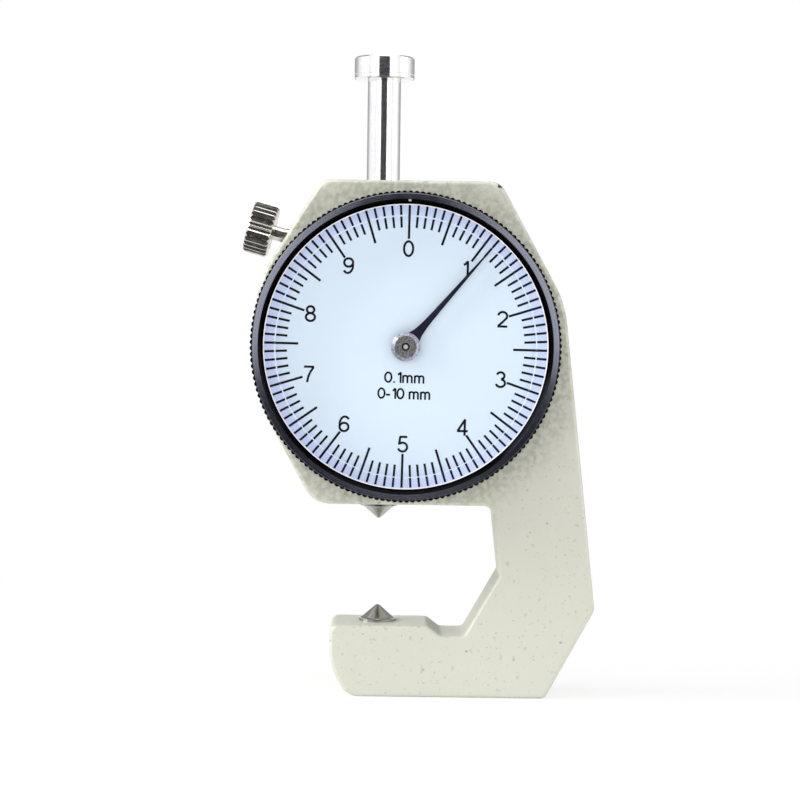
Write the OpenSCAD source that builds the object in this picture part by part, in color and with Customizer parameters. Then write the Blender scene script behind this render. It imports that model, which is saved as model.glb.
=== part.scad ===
// Pocket dial thickness gauge.
// Millimetres. +X right, -Y towards the reader of the dial, +Z up.
// The spindle axis is x = 0, y = 0 and the base of the lower jaw is z = 0.
// The gauge is drawn as it stands locked: spindle fully raised, pointer past one turn.

/* [Frame] */
// Thickness of the casting
frame_thick = 9; // [8.6:0.1:11]
// Rounding of the casting's long edges
edge_round = 0.5; // [0.2:0.05:0.7]
// Height of the lower jaw's top face above the base
jaw_height = 9.15; // [8.5:0.05:12]
// Clear height between the jaw and the head
throat_height = 15.25; // [14.5:0.05:17]
// Depth of the throat behind the spindle axis, at its foot
throat_depth = 15.35; // [14:0.05:20]
// How far the throat wall leans forward at its top
throat_lean = 1; // [0:0.1:2]
// Width of the arm at the heel
arm_width = 12.15; // [9:0.05:16]
// Height of the heel, where the arm is widest
heel_height = 11.3; // [8:0.1:14]
// How far the base ends short of the heel
heel_slope = 6.15; // [3:0.05:8]
// Reach of the jaw's nose in front of the spindle axis
jaw_nose = 6; // [4.5:0.1:8]
// How far the base starts behind the nose
nose_undercut = 2.2; // [1.5:0.05:3]
// Height of the nose's widest point
nose_height = 4; // [3.5:0.1:6]
// Depth of the relief notch behind the anvil
notch_depth = 1.25; // [0.6:0.05:2]
// Head above the bezel's top
head_top_margin = 1.65; // [1:0.05:3]
// Head below the bezel's bottom
head_bottom_margin = 0.95; // [0.6:0.05:3]
// Head left of the bezel
head_left_margin = 0; // [0:0.05:2]
// Head right of the bezel, at the shoulder
head_right_margin = 0.9; // [0.4:0.05:3]
// Reach of the head's top edge left of the dial's centre
head_top_left = 10.7; // [9:0.1:13]
// Reach of the head's top edge right of the dial's centre
head_top_right = 11.6; // [9:0.1:13]

/* [Bezel and dial] */
// Outside diameter over the knurls
bezel_d = 38.2; // [37:0.1:41]
// Number of knurls round the bezel
bezel_knurls = 160; // [100:2:180]
// Depth of a knurl
bezel_knurl_depth = 0.2; // [0.1:0.01:0.3]
// Wall of the bezel behind the knurls
bezel_wall = 1.1; // [0.9:0.05:1.4]
// Height of the bezel in front of the casting
bezel_rise = 6.9; // [6.6:0.1:8]
// Inward lip that holds the crystal
bezel_lip = 0.5; // [0.3:0.05:0.8]
// Thickness of the crystal's rim
crystal_rim = 0.9; // [0.6:0.05:1.2]
// Width of the crystal's lower rim, outside its raised middle
crystal_ledge = 1.5; // [0.8:0.1:2]
// Height of the crystal's raised middle in front of the bezel's lip
crystal_crown = 0.45; // [0.3:0.05:0.7]
// Space between dial and crystal
dial_depth = 2; // [1.9:0.05:2.6]
// Thickness of the dial plate
dial_thick = 0.6; // [0.4:0.05:0.8]
// How far the dial's zero stands clockwise of upright, in degrees
dial_turn = 0.9; // [0:0.1:5]
// Length of the pointer from its axis
pointer_length = 15.6; // [12:0.1:16]
// Diameter of the pointer's hub
hub_d = 3.58; // [3:0.02:4.2]

/* [Spindle] */
// Diameter of the spindle
spindle_d = 4.2; // [4:0.05:4.5]
// Diameter of the lifting cap
cap_d = 7.6; // [6:0.1:9]
// Height of the lifting cap
cap_height = 2.9; // [2.4:0.1:4]
// Room left under the cap when the points meet
cap_clear = 1.7; // [0.5:0.05:4]
// Diameter of a contact point's flange
point_d = 4.8; // [4.5:0.1:5.4]
// Height of a contact point
point_height = 2.025; // [1.8:0.025:2.3]
// Radius of a contact point's tip
point_tip_r = 0.45; // [0.2:0.05:0.6]
// Diameter of a contact point's stem
point_stem_d = 2.5; // [2:0.1:2.8]
// Outside diameter of the guide bushes
bush_d = 6; // [5.6:0.1:6.6]

/* [Movement] */
// Spindle travel for one turn of the pointer
travel_per_turn = 10; // [9.8:0.1:10.6]
// Teeth on the centre pinion
pinion_teeth = 16; // [16:1:18]
// Teeth on the take-up gear
takeup_teeth = 60; // [50:2:64]
// Rack pitch line from the spindle axis
rack_line = 1.54; // [1.45:0.01:1.6]
// Thickness of the movement plate
plate_thick = 1.2; // [1:0.05:1.4]
// Thickness of the bridge plate
bridge_thick = 0.6; // [0.5:0.05:0.7]
// Thickness of the back cover
cover_thick = 1; // [0.8:0.05:1.1]
// Diameter of the guide pin
pin_d = 1; // [0.8:0.05:1.1]
// Diameter of the return spring's wire
spring_wire = 0.2; // [0.14:0.02:0.24]
// Working turns of the return spring
spring_turns = 22; // [14:1:24]
// Turns of the hairspring
hairspring_turns = 4; // [3:1:5]

/* [Spindle lock] */
// Diameter of the thumb screw's head
knob_d = 6.7; // [5:0.05:8]
// Length of the thumb screw's head
knob_length = 3.1; // [2:0.05:4]
// Knurls on the thumb screw's head
knob_knurls = 30; // [20:2:40]
// Gap between the head and the casting
knob_gap = 1.95; // [1:0.05:4]
// Diameter of the screw
screw_d = 2; // [1.8:0.1:2.4]
// Tilt of the screw below level, in degrees
lock_tilt = 15.6; // [12:0.1:18]
// Height of the screw's axis above the dial's centre, at the spindle
lock_rise = 10.25; // [10:0.05:10.6]

/* [Fits] */
// Radial clearance of a running fit
running = 0.03; // [0.02:0.01:0.06]
// Clearance of a piece in its seat
seat = 0.02; // [0.01:0.01:0.04]
// Play at the ends of a travel
end_play = 0.08; // [0.05:0.01:0.15]

/* [Hidden] */
$fn = 128;

// Colours
paint = [0.84, 0.85, 0.79];
black_metal = [0.16, 0.16, 0.18];
chrome = [0.86, 0.87, 0.88];
steel = [0.66, 0.67, 0.69];
brass = [0.80, 0.66, 0.36];
dial_white = [0.90, 0.95, 1.0];
ink = [0.06, 0.06, 0.11];
clear = [0.85, 0.93, 1.0, 0.25];

// Gearing
pitch = travel_per_turn / pinion_teeth;
gear_module = pitch / PI;
pressure_angle = 20;
addendum = 0.85 * gear_module;
dedendum = 1.2 * gear_module;
backlash = 0.04;
pinion_r = pinion_teeth * gear_module / 2;
takeup_r = takeup_teeth * gear_module / 2;
takeup_side = -22.5;

// Heights
head_bottom = jaw_height + throat_height;
bezel_r = bezel_d / 2;
dial_x = rack_line + pinion_r;
dial_z = head_bottom + head_bottom_margin + bezel_r;
head_top = dial_z + bezel_r + head_top_margin;
point_gap = throat_height - end_play - 2 * point_height;
travel = point_gap - seat;
anvil_tip_z = jaw_height + point_height;
spindle_tip_z = anvil_tip_z + point_gap;
spindle_foot_z = spindle_tip_z + point_height;
cap_z = head_top + travel + cap_clear;
cap_top = 0.6;
spindle_r = spindle_d / 2;
bush_r = bush_d / 2;
bush_reach = 1;

// Depths, front to back
front_y = -frame_thick / 2;
back_y = frame_thick / 2;
plate_back_y = front_y + plate_thick;
cover_front_y = back_y - cover_thick;
screw_head = 0.5;
bridge_back_y = cover_front_y - screw_head - end_play;
bridge_front_y = bridge_back_y - bridge_thick;
bezel_front_y = front_y - bezel_rise;
bezel_gap = 0.3;
bezel_back_y = front_y - bezel_gap;
lip_depth = 0.85;
lip_y = bezel_front_y + lip_depth;
crystal_back_y = lip_y + crystal_rim;
dial_front_y = crystal_back_y + dial_depth;
dial_back_y = dial_front_y + dial_thick;
snap_thick = 0.4;
collar_gap = 0.3;
collar_front_y = dial_back_y + snap_thick + collar_gap;
groove_y = (collar_front_y + bezel_back_y) / 2;

// Radii about the dial's axis
bezel_bore_r = bezel_r - bezel_wall;
bezel_play = 0.15;
collar_r = bezel_bore_r - bezel_play;
collar_wall = 1.2;
plate_gap = 0.1;
plate_r = collar_r - collar_wall - plate_gap;
plate_ledge = 1;
spigot_r = collar_r - collar_wall / 2;
spigot_depth = 0.6;
cavity_r = plate_r - plate_ledge;
lug_r = 1.9;
lug_inset = 1.3;
lug_at = cavity_r - lug_inset;
lug_angles = [40, 165, 295];
window_r = bezel_bore_r - bezel_lip;
bezel_land = 0.3;
glass_play = 0.05;
glass_r = bezel_bore_r - glass_play;
wire_r = 0.22;
wire_play = 0.05;
wire_at = (collar_r + bezel_bore_r) / 2;

// Movement layout, measured from the dial's axis
pillar_places = [[8.5, 5], [1.5, -11], [1.7, 11.9]];
pillar_r = 1.2;
tenon_r = 0.7;
bridge_corners = [[-2.5, -13.8], [11.4, -5.9], [10.8, 5.4], [3.3, 13.7], [-2.5, 13.7]];
bridge_corner_r = 1.8;
takeup_at = [
    (pinion_r + takeup_r) * cos(takeup_side),
    (pinion_r + takeup_r) * sin(takeup_side)
];
arbor_r = 0.75;
takeup_arbor_r = 0.6;
pivot_r = 0.3;
pivot_bush_r = 0.9;
long_bush_r = 1.5;
long_bush_reach = 1.5;
pinion_half = 1.3;
gear_thick = 0.8;
gear_y = 0.3;
bush_rise = 0.2;
low_bush_rise = 0.1;

// Screws: shank and head radii, head heights and how far each goes into what holds it
fine_screw_r = 0.5;
plate_screw_head_r = 1.2;
plate_screw_head = 0.6;
bridge_screw_head_r = 1.05;
fine_grip = 2.6;
rail_screw_r = 0.4;
rail_screw_head_r = 0.8;
rail_screw_head = 0.4;
rail_grip = 2.4;
cover_screw_head_r = 1.15;
cover_screw_head = 0.45;
cover_screw_sink = 0.5;
cover_grip = 2;

// Guide pin, rail and return spring, left of the spindle
pin_r = pin_d / 2;
pin_rise = 5.55;
pin_z = dial_z + pin_rise;
rail_offset = 1.8;
rail_x = -spindle_r - rail_offset;
rail_width = 1.6;
rail_end = 1.6;
rail_slot_play = 0.3;
rail_top_z = pin_z + pin_r + rail_slot_play + rail_end;
rail_bottom_z = pin_z - travel - pin_r - rail_slot_play - rail_end;
rail_back_y = 1.4;
spring_r = 0.75;
spring_gap = 0.35;
spring_x = rail_x - rail_width / 2 - spring_r - spring_wire / 2 - spring_gap;
pin_reach = 1;
pin_end_x = spring_x - pin_reach;
pin_depth = 0.9;
pin_root_x = pin_depth - spindle_r;
post_r = spring_r - spring_wire / 2 - wire_play;
post_margin = 1.43;
post_z = dial_z - sqrt(pow(cavity_r - post_margin, 2) - pow(dial_x - spring_x, 2));

// Hairspring, in front of the take-up gear
collet_r = 0.9;
hair_thick = 0.12;
hair_height = 0.5;
hair_y = -1.85;
hair_in_r = collet_r + wire_play + hair_thick / 2;
hair_out_r = 4;
hair_end = -60;
stud_r = 0.5;

// Pointer and hub, between dial and crystal
hub_r = hub_d / 2;
hub_bore_r = 0.52;
hub_room = 0.35;
hub_front_y = crystal_back_y + hub_room;
hub_head = 0.7;
hub_tube_r = 1;
hub_tail = 0.2;
pointer_thick = 0.25;
pointer_front_y = hub_front_y + hub_head;
pointer_back_y = pointer_front_y + pointer_thick;
pointer_angle = dial_turn + 360 * travel / travel_per_turn;

// Length of a contact point's stem, and the room left past the end of a stem or screw in its hole
stem_length = 4;
end_room = 0.5;
stem_hole = stem_length + end_room;

// How far a cut runs past the face that it starts from
past = 1;

// Spindle lock: distances run outwards along the screw from the spindle axis
lock_z = dial_z + lock_rise;
screw_r = screw_d / 2;
lock_bore_r = screw_r + running;
boss_r = 2.1;
boss_end = 3.4;
pad_out = 6;
screw_tip = pad_out + seat;
knob_knurl_depth = 0.26;
knob_land = 0.15;
neck_r = 0.9 * screw_r;
thread_show = 0.4;

// Corners of the casting, each with its rounding, anticlockwise from the jaw's nose
throat_top_x = throat_depth - throat_lean;
throat_foot_rise = 6.45;
throat_foot_z = jaw_height + throat_foot_rise;
notch_z = jaw_height - notch_depth;
notch_back = 4.35;
notch_back_x = throat_depth - notch_back;
notch_front_x = 8;
notch_slope = 1.7;
jaw_end_x = notch_front_x - notch_slope;
heel_x = throat_depth + arm_width;
shoulder_x = dial_x + bezel_r + head_right_margin;
shoulder_rise = 5.55;
shoulder_z = dial_z + shoulder_rise;
head_left_x = dial_x - bezel_r - head_left_margin;
left_rise = 7.4;
left_top_z = dial_z + left_rise;
left_drop = 6.05;
left_bottom_z = dial_z - left_drop;
under_left = 11.4;
under_left_x = dial_x - under_left;
fine_round = 0.8;
small_round = 1;
corner_round = 1.3;
head_round = 2.2;
broad_round = 3.6;
flank_round = 16;
shoulder_round = 13;
nose_round = 8;
under_round = 2.6;
top_left = [dial_x - head_top_left, head_top];
left_shoulder = [head_left_x, left_top_z];
casting_corners = [
    [[nose_undercut - jaw_nose, 0], under_round],
    [[heel_x - heel_slope, 0], small_round],
    [[heel_x, heel_height], corner_round],
    [[shoulder_x, shoulder_z], shoulder_round],
    [[dial_x + head_top_right, head_top], head_round],
    [top_left, head_round],
    [left_shoulder, flank_round],
    [[head_left_x, left_bottom_z], flank_round],
    [[under_left_x, head_bottom], broad_round],
    [[throat_top_x, head_bottom], corner_round],
    [[throat_depth, throat_foot_z], small_round],
    [[notch_back_x, notch_z], fine_round],
    [[notch_front_x, notch_z], fine_round],
    [[jaw_end_x, jaw_height], small_round],
    [[-jaw_nose, jaw_height], small_round],
    [[-jaw_nose, nose_height], nose_round]
];

// Corners where the outside and the throat of the casting begin
nose_corner = 15;
throat_corner = 9;

// Where the lock screw's axis leaves the head's slanted side
slant = left_shoulder - top_left;
lock_out = [-cos(lock_tilt), sin(lock_tilt)];
lock_entry = cross(top_left - [0, lock_z], slant) / cross(lock_out, slant);
knob_in = lock_entry + knob_gap;

// Places in the movement
dial_axis = [dial_x, dial_z];
takeup_place = dial_point(takeup_at);
stud_place = takeup_place + polar(hair_out_r + hair_thick / 2 + seat + stud_r, hair_end);
rail_screw_z = [rail_bottom_z + rail_end / 2, rail_top_z - rail_end / 2];
function dial_point(p) = dial_axis + p;
function lug_place(a) = dial_point(polar(lug_at, a));

// Plane geometry
function unit(v) = v / norm(v);
function left_of(v) = [-v[1], v[0]];
function polar(r, a) = [r * cos(a), r * sin(a)];
function wrap(list, i) = list[(i + len(list)) % len(list)];

// A corner moved inwards by d along both of its sides
function inset_corner(a, b, c, d) =
    let (n1 = left_of(unit(b - a)), n2 = left_of(unit(c - b)))
    b + (n1 + n2) * d / (1 + n1 * n2);

// Points of the arc of radius r that rounds the corner b between a and c
function corner_arc(a, b, c, r, steps) =
    let (
        u1 = unit(b - a),
        u2 = unit(c - b),
        turn = atan2(cross(u1, u2), u1 * u2),
        side = sign(turn),
        start = b - u1 * r * tan(abs(turn) / 2),
        hub = start + left_of(u1) * r * side,
        arm = start - hub
    )
    [for (i = [0:steps])
        let (a = turn * i / steps)
        hub + [arm[0] * cos(a) - arm[1] * sin(a), arm[0] * sin(a) + arm[1] * cos(a)]];

// The outline of rounded corners [[point, radius], ...], moved inwards by d
function rounded_outline(corners, d, steps) =
    let (
        count = len(corners),
        moved = [for (i = [0:count - 1])
            inset_corner(wrap(corners, i - 1)[0], corners[i][0], wrap(corners, i + 1)[0], d)]
    )
    [for (i = [0:count - 1])
        let (
            a = wrap(moved, i - 1),
            c = wrap(moved, i + 1),
            side = sign(cross(moved[i] - a, c - moved[i]))
        )
        each corner_arc(a, moved[i], c, corners[i][1] - side * d, steps)];

// Involute gear outline with a tooth centred on the +X direction
function involute(r, base) = r <= base ? 0 : sqrt(pow(r / base, 2) - 1) * 180 / PI - acos(base / r);

function gear_outline(teeth, steps) =
    let (
        r = teeth * gear_module / 2,
        base = r * cos(pressure_angle),
        root = r - dedendum,
        tip = r + addendum,
        foot = max(base, root),
        half = (pitch - backlash) / 4 / r * 180 / PI + involute(r, base),
        flank = [for (i = [0:steps])
            let (q = foot + (tip - foot) * i / steps)
            [q, half - involute(q, base)]],
        side = root < base ? concat([[root, flank[0][1]]], flank) : flank,
        last = len(side) - 1
    )
    [for (k = [0:teeth - 1])
        let (a = 360 * k / teeth)
        each concat(
            [for (i = [0:last]) polar(side[i][0], a - side[i][1])],
            [for (i = [0:last]) polar(side[last - i][0], a + side[last - i][1])])];

// Outline of count straight knurls at radius r, whose lands take this share of the pitch between grooves
function knurl_outline(r, depth, count, share) =
    let (step = 360 / count, land = share * step)
    [for (i = [0:count - 1])
        let (a = i * step)
        each [polar(r - depth, a), polar(r, a + (step - land) / 2), polar(r, a + (step + land) / 2)]];

// A tube of radius r swept along steps [point, normal], with closed ends
function ring_axes(path, i) =
    let (
        last = len(path) - 1,
        t = unit(path[min(i + 1, last)][0] - path[max(i - 1, 0)][0]),
        side = unit(cross(t, path[i][1]))
    )
    [side, cross(t, side)];

module swept_wire(path, r, sides) {
    last = len(path) - 1;
    rings = [for (i = [0:last])
        let (f = ring_axes(path, i))
        for (k = [0:sides - 1])
            path[i][0] + r * (f[0] * cos(360 * k / sides) + f[1] * sin(360 * k / sides))];
    skin = [for (i = [0:last - 1])
        for (k = [0:sides - 1])
            let (n = (k + 1) % sides, a = i * sides, b = a + sides)
            each [[a + k, b + k, b + n], [a + k, b + n, a + n]]];
    caps = [
        [for (k = [0:sides - 1]) k],
        [for (k = [0:sides - 1]) last * sides + sides - 1 - k]
    ];
    polyhedron(rings, concat(skin, caps));
}

// Extrudes a flat shape, drawn in x and z, from y0 to y1
module deep(y0, y1) {
    translate([0, y1, 0]) rotate([90, 0, 0]) linear_extrude(y1 - y0) children();
}

// A round bar along y at [x, z]
module bar_y(at, r, y0, y1) {
    translate([at[0], y1, at[1]]) rotate([90, 0, 0]) cylinder(r = r, h = y1 - y0);
}

// A turned shape on the y axis at [x, z], from points [radius, y]
module turned_y(at, profile) {
    translate([at[0], 0, at[1]]) rotate([-90, 0, 0]) rotate_extrude() polygon(profile);
}

// A turned shape on the z axis, from points [radius, z]
module turned_z(profile) {
    rotate_extrude() polygon(profile);
}

// Puts children on the dial's axis
module at_dial() {
    translate([dial_x, 0, dial_z]) children();
}

// Puts children on the lock screw's axis, with +Z running outwards from the spindle
module at_lock() {
    translate([0, 0, lock_z]) rotate([0, lock_tilt - 90, 0]) children();
}

// A slotted screw that goes in along -y from its head seat at y = 0
module slotted_screw(head_r, head_h, shank_r, length) {
    slot_w = head_r * 0.36;
    slot_d = head_h * 0.5;
    difference() {
        union() {
            bar_y([0, 0], head_r, 0, head_h);
            bar_y([0, 0], shank_r, -length, head_h / 4);
        }
        translate([-head_r - past, head_h - slot_d, -slot_w / 2])
            cube([2 * (head_r + past), slot_d + past, slot_w]);
    }
}

// Triangles between two chains of outline indices: each step takes the shorter new side
// of those whose triangle faces the right way
function faces_out(a, b, c) = cross(b - a, c - a) > 0;

function zip_chains(points, out, in, i, k) =
    let (out_done = i == len(out) - 1, in_done = k == len(in) - 1)
    out_done && in_done ? [] :
    let (
        a = points[out[i]],
        c = points[in[k]],
        out_next = points[out[min(i + 1, len(out) - 1)]],
        in_next = points[in[min(k + 1, len(in) - 1)]],
        out_step = faces_out(a, out_next, c) ? norm(out_next - c) : 1e9,
        in_step = faces_out(a, in_next, c) ? norm(in_next - a) : 1e9
    )
    in_done || (!out_done && out_step < in_step)
        ? concat([[out[i], out[i + 1], in[k]]], zip_chains(points, out, in, i + 1, k))
        : concat([[out[i], in[k + 1], in[k]]], zip_chains(points, out, in, i, k + 1));

// Casting with softly rounded long edges
module casting_blank() {
    steps = 5;
    mid_round = edge_round * (1 - cos(45));
    levels = [
        [front_y, edge_round], [front_y + mid_round, mid_round],
        [front_y + edge_round, 0], [back_y - edge_round, 0],
        [back_y - mid_round, mid_round], [back_y, edge_round]
    ];
    rings = [for (l = levels) rounded_outline(casting_corners, l[1], steps)];
    count = len(rings[0]);
    points = [for (i = [0:len(levels) - 1]) for (p = rings[i]) [p[0], levels[i][0], p[1]]];
    last = len(levels) - 1;
    skin = [for (i = [0:last - 1])
        for (k = [0:count - 1])
            let (n = (k + 1) % count, a = i * count, b = a + count)
            each [[a + k, a + n, b + n], [a + k, b + n, b + k]]];
    outer_first = (nose_corner - len(casting_corners)) * (steps + 1);
    outer_last = throat_corner * (steps + 1) - 1;
    outer = [for (k = [outer_first:outer_last]) (k + count) % count];
    inner = [for (k = [nose_corner * (steps + 1) - 1:-1:outer_last + 1]) k];
    face = zip_chains(rings[0], outer, inner, 0, 0);
    front_face = [for (t = face) [t[2], t[1], t[0]]];
    back_face = [for (t = face) [for (k = t) last * count + k]];
    polyhedron(points, concat(skin, front_face, back_face));
}

module cavity() {
    difference() {
        bar_y(dial_axis, cavity_r, front_y - past, back_y + past);
        for (a = lug_angles) bar_y(lug_place(a), lug_r, front_y - 2 * past, back_y + 2 * past);
        at_lock() translate([0, 0, boss_end]) cylinder(r = boss_r, h = lock_entry);
    }
}

module frame() {
    color(paint) difference() {
        casting_blank();
        cavity();
        bar_y(dial_axis, plate_r + seat, front_y - past, plate_back_y);
        bar_y(dial_axis, spigot_r + seat, front_y - past, front_y + spigot_depth);
        bar_y(dial_axis, plate_r + seat, cover_front_y, back_y + past);
        for (a = lug_angles) bar_y(lug_place(a), fine_screw_r + seat, front_y, back_y);
        translate([0, 0, dial_z]) cylinder(r = bush_r + seat, h = head_top);
        translate([0, 0, head_bottom - past]) cylinder(r = bush_r + seat, h = dial_z - head_bottom);
        translate([0, 0, jaw_height - stem_hole])
            cylinder(r = point_stem_d / 2 + seat, h = stem_hole + past);
        at_lock() cylinder(r = lock_bore_r, h = lock_entry + knob_gap);
    }
}

// Turned ring let into the casting: the bezel turns on it, held by a wire in its groove
module bezel_seat() {
    in_r = plate_r + plate_gap;
    edge = 0.2;
    groove = wire_r + wire_play;
    color(steel) turned_y(dial_axis, [
        [in_r, collar_front_y], [collar_r - edge, collar_front_y], [collar_r, collar_front_y + edge],
        [collar_r, groove_y - groove], [wire_at - groove, groove_y - groove],
        [wire_at - groove, groove_y + groove], [collar_r, groove_y + groove],
        [collar_r, front_y], [spigot_r, front_y], [spigot_r, front_y + spigot_depth],
        [in_r, front_y + spigot_depth]
    ]);
}

module guide_bush(z0, z1) {
    chamfer = 0.25;
    color(steel) turned_z([
        [spindle_r + running, z0], [bush_r - chamfer, z0], [bush_r, z0 + chamfer],
        [bush_r, z1 - chamfer], [bush_r - chamfer, z1], [spindle_r + running, z1]
    ]);
}

module upper_guide_bush() {
    guide_bush(dial_z + cavity_r - bush_reach, head_top);
}

module lower_guide_bush() {
    guide_bush(head_bottom, dial_z - cavity_r + bush_reach);
}

// Contact point with its tip at z = 0, pointing down, and its stem above
module contact_point() {
    flange_h = 0.35;
    flare = 0.6;
    cone_r = 1.8;
    stem_r = point_stem_d / 2;
    flange_r = point_d / 2;
    lean = atan2(cone_r - point_tip_r, point_height - flange_h - point_tip_r);
    tip = [for (i = [0:5]) let (a = -90 + i * (90 - lean) / 5)
        [point_tip_r * cos(a), point_tip_r + point_tip_r * sin(a)]];
    flare_hub = [cone_r + flare * 0.85, point_height - flange_h - flare];
    curve = [for (i = [0:4]) let (a = 180 - lean - i * (90 - lean) / 4)
        flare_hub + flare * [cos(a), sin(a)]];
    turned_z(concat(tip, curve, [
        [flange_r, point_height - flange_h], [flange_r, point_height],
        [stem_r, point_height], [stem_r, point_height + stem_length], [0, point_height + stem_length]
    ]));
}

module anvil_point() {
    color(chrome) translate([0, 0, anvil_tip_z]) rotate([180, 0, 0]) contact_point();
}

module spindle_point() {
    color(chrome) translate([0, 0, spindle_tip_z]) contact_point();
}

module movement_plate() {
    color(brass) difference() {
        bar_y(dial_axis, plate_r, front_y, plate_back_y);
        bar_y(dial_axis, long_bush_r + seat, front_y - past, plate_back_y + past);
        bar_y(takeup_place, pivot_bush_r + seat, front_y - past, plate_back_y + past);
        for (p = pillar_places) bar_y(dial_point(p), tenon_r + seat, front_y - past, plate_back_y + past);
        for (a = lug_angles) bar_y(lug_place(a), fine_screw_r + seat, front_y - past, plate_back_y + past);
        for (z = rail_screw_z)
            bar_y([rail_x, z], rail_screw_r + seat, front_y - past, plate_back_y + past);
        bar_y([spring_x, post_z], tenon_r / 2 + seat, front_y - past, plate_back_y + past);
        bar_y(stud_place, tenon_r / 2 + seat, front_y - past, plate_back_y + past);
    }
}

module movement_plate_screws() {
    color(steel) for (a = lug_angles)
        translate([lug_place(a)[0], front_y, lug_place(a)[1]]) mirror([0, 1, 0])
            slotted_screw(plate_screw_head_r, plate_screw_head, fine_screw_r, plate_thick + fine_grip);
}

module bridge_plate() {
    corners = [for (p = bridge_corners) [dial_point(p), bridge_corner_r]];
    color(brass) difference() {
        deep(bridge_front_y, bridge_back_y) polygon(rounded_outline(corners, 0, 6));
        for (p = pillar_places)
            bar_y(dial_point(p), fine_screw_r + seat, bridge_front_y - past, bridge_back_y + past);
        for (p = [dial_axis, takeup_place])
            bar_y(p, pivot_bush_r + seat, bridge_front_y - past, bridge_back_y + past);
    }
}

module bridge_pillars() {
    hole_end_y = bridge_front_y - fine_grip - end_room;
    color(brass) for (p = pillar_places) difference() {
        union() {
            bar_y(dial_point(p), pillar_r, plate_back_y, bridge_front_y);
            bar_y(dial_point(p), tenon_r, front_y, plate_back_y + past);
        }
        bar_y(dial_point(p), fine_screw_r + seat, hole_end_y, bridge_front_y + past);
    }
}

module bridge_screws() {
    color(steel) for (p = pillar_places)
        translate([dial_point(p)[0], bridge_back_y, dial_point(p)[1]])
            slotted_screw(bridge_screw_head_r, screw_head, fine_screw_r, bridge_thick + fine_grip);
}

// Plain bearing along y, with a running bore for a shaft of radius r
module arbor_bush(at, out_r, r, y0, y1) {
    difference() {
        bar_y(at, out_r, y0, y1);
        bar_y(at, r + running, y0 - past, y1 + past);
    }
}

module arbor_bushes() {
    color(brass) {
        arbor_bush(dial_axis, long_bush_r, arbor_r, front_y - long_bush_reach, plate_back_y + bush_rise);
        arbor_bush(dial_axis, pivot_bush_r, pivot_r, bridge_front_y, bridge_back_y + bush_rise);
        arbor_bush(takeup_place, pivot_bush_r, pivot_r, front_y, plate_back_y + low_bush_rise);
        arbor_bush(takeup_place, pivot_bush_r, pivot_r, bridge_front_y, bridge_back_y + bush_rise);
    }
}

module guide_rail() {
    slot_h = travel + 2 * pin_r + 2 * rail_slot_play;
    color(steel) difference() {
        translate([rail_x - rail_width / 2, plate_back_y, rail_bottom_z])
            cube([rail_width, rail_back_y - plate_back_y, rail_top_z - rail_bottom_z]);
        translate([rail_x - rail_width, -pin_r - running, rail_bottom_z + rail_end])
            cube([2 * rail_width, 2 * (pin_r + running), slot_h]);
        for (z = rail_screw_z) bar_y([rail_x, z], rail_screw_r + seat, plate_back_y - past, 0);
    }
}

module guide_rail_screws() {
    color(steel) for (z = rail_screw_z)
        translate([rail_x, front_y, z]) mirror([0, 1, 0])
            slotted_screw(rail_screw_head_r, rail_screw_head, rail_screw_r, plate_thick + rail_grip);
}

module spring_post() {
    lip_r = post_r + 0.25;
    lip_front_y = 0.6;
    end_y = 1;
    color(steel) turned_y([spring_x, post_z], [
        [0, front_y], [tenon_r / 2, front_y], [tenon_r / 2, plate_back_y],
        [post_r, plate_back_y], [post_r, lip_front_y], [lip_r, lip_front_y], [lip_r, end_y], [0, end_y]
    ]);
}

// Tension coil with a hook round the post below and another round the guide pin above
module return_spring() {
    turn_points = 10;
    hook = 285;
    hook_last = 9;
    wire_sides = 5;
    coil_turns = spring_turns + 0.25;
    hook_rise = 1.4;
    z0 = post_z + hook_rise;
    z1 = pin_z - hook_rise;
    low = [for (i = [0:hook_last]) let (a = 360 - hook + i * hook / hook_last)
        [[spring_x + spring_r * cos(a), 0, post_z + spring_r * sin(a)], [0, -1, 0]]];
    coil = [for (i = [0:coil_turns * turn_points]) let (a = i * 360 / turn_points)
        [[spring_x + spring_r * cos(a), spring_r * sin(a), z0 + (z1 - z0) * a / 360 / coil_turns],
            [0, 0, 1]]];
    high = [for (i = [0:hook_last]) let (a = i * hook / hook_last)
        [[spring_x, spring_r * cos(a), pin_z + spring_r * sin(a)], [1, 0, 0]]];
    color(steel) swept_wire(concat(low, coil, high), spring_wire / 2, wire_sides);
}

module hairspring_stud() {
    end_y = hair_y + hair_height + 0.3;
    color(brass) turned_y(stud_place, [
        [0, front_y], [tenon_r / 2, front_y], [tenon_r / 2, plate_back_y],
        [stud_r, plate_back_y], [stud_r, end_y], [0, end_y]
    ]);
}

// Flat spiral from just outside the collet to the stud
module hairspring() {
    turn_points = 24;
    last = hairspring_turns * turn_points;
    function coil_r(i) = hair_in_r + (hair_out_r - hair_in_r) * i / last;
    function coil_a(i) = hair_end + (i - last) * 360 / turn_points;
    strip = concat(
        [for (i = [0:last]) polar(coil_r(i) + hair_thick / 2, coil_a(i))],
        [for (i = [0:last]) polar(coil_r(last - i) - hair_thick / 2, coil_a(last - i))]);
    color(steel) translate([takeup_place[0], 0, takeup_place[1]])
        deep(hair_y, hair_y + hair_height) polygon(strip);
}

module back_cover() {
    color(paint) difference() {
        bar_y(dial_axis, plate_r, cover_front_y, back_y);
        for (a = lug_angles) {
            bar_y(lug_place(a), fine_screw_r + seat, cover_front_y - past, back_y + past);
            bar_y(lug_place(a), cover_screw_head_r + seat, back_y - cover_screw_sink, back_y + past);
        }
    }
}

module back_cover_screws() {
    color(steel) for (a = lug_angles)
        translate([lug_place(a)[0], back_y - cover_screw_sink, lug_place(a)[1]])
            slotted_screw(cover_screw_head_r, cover_screw_head, fine_screw_r, cover_thick + cover_grip);
}

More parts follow.
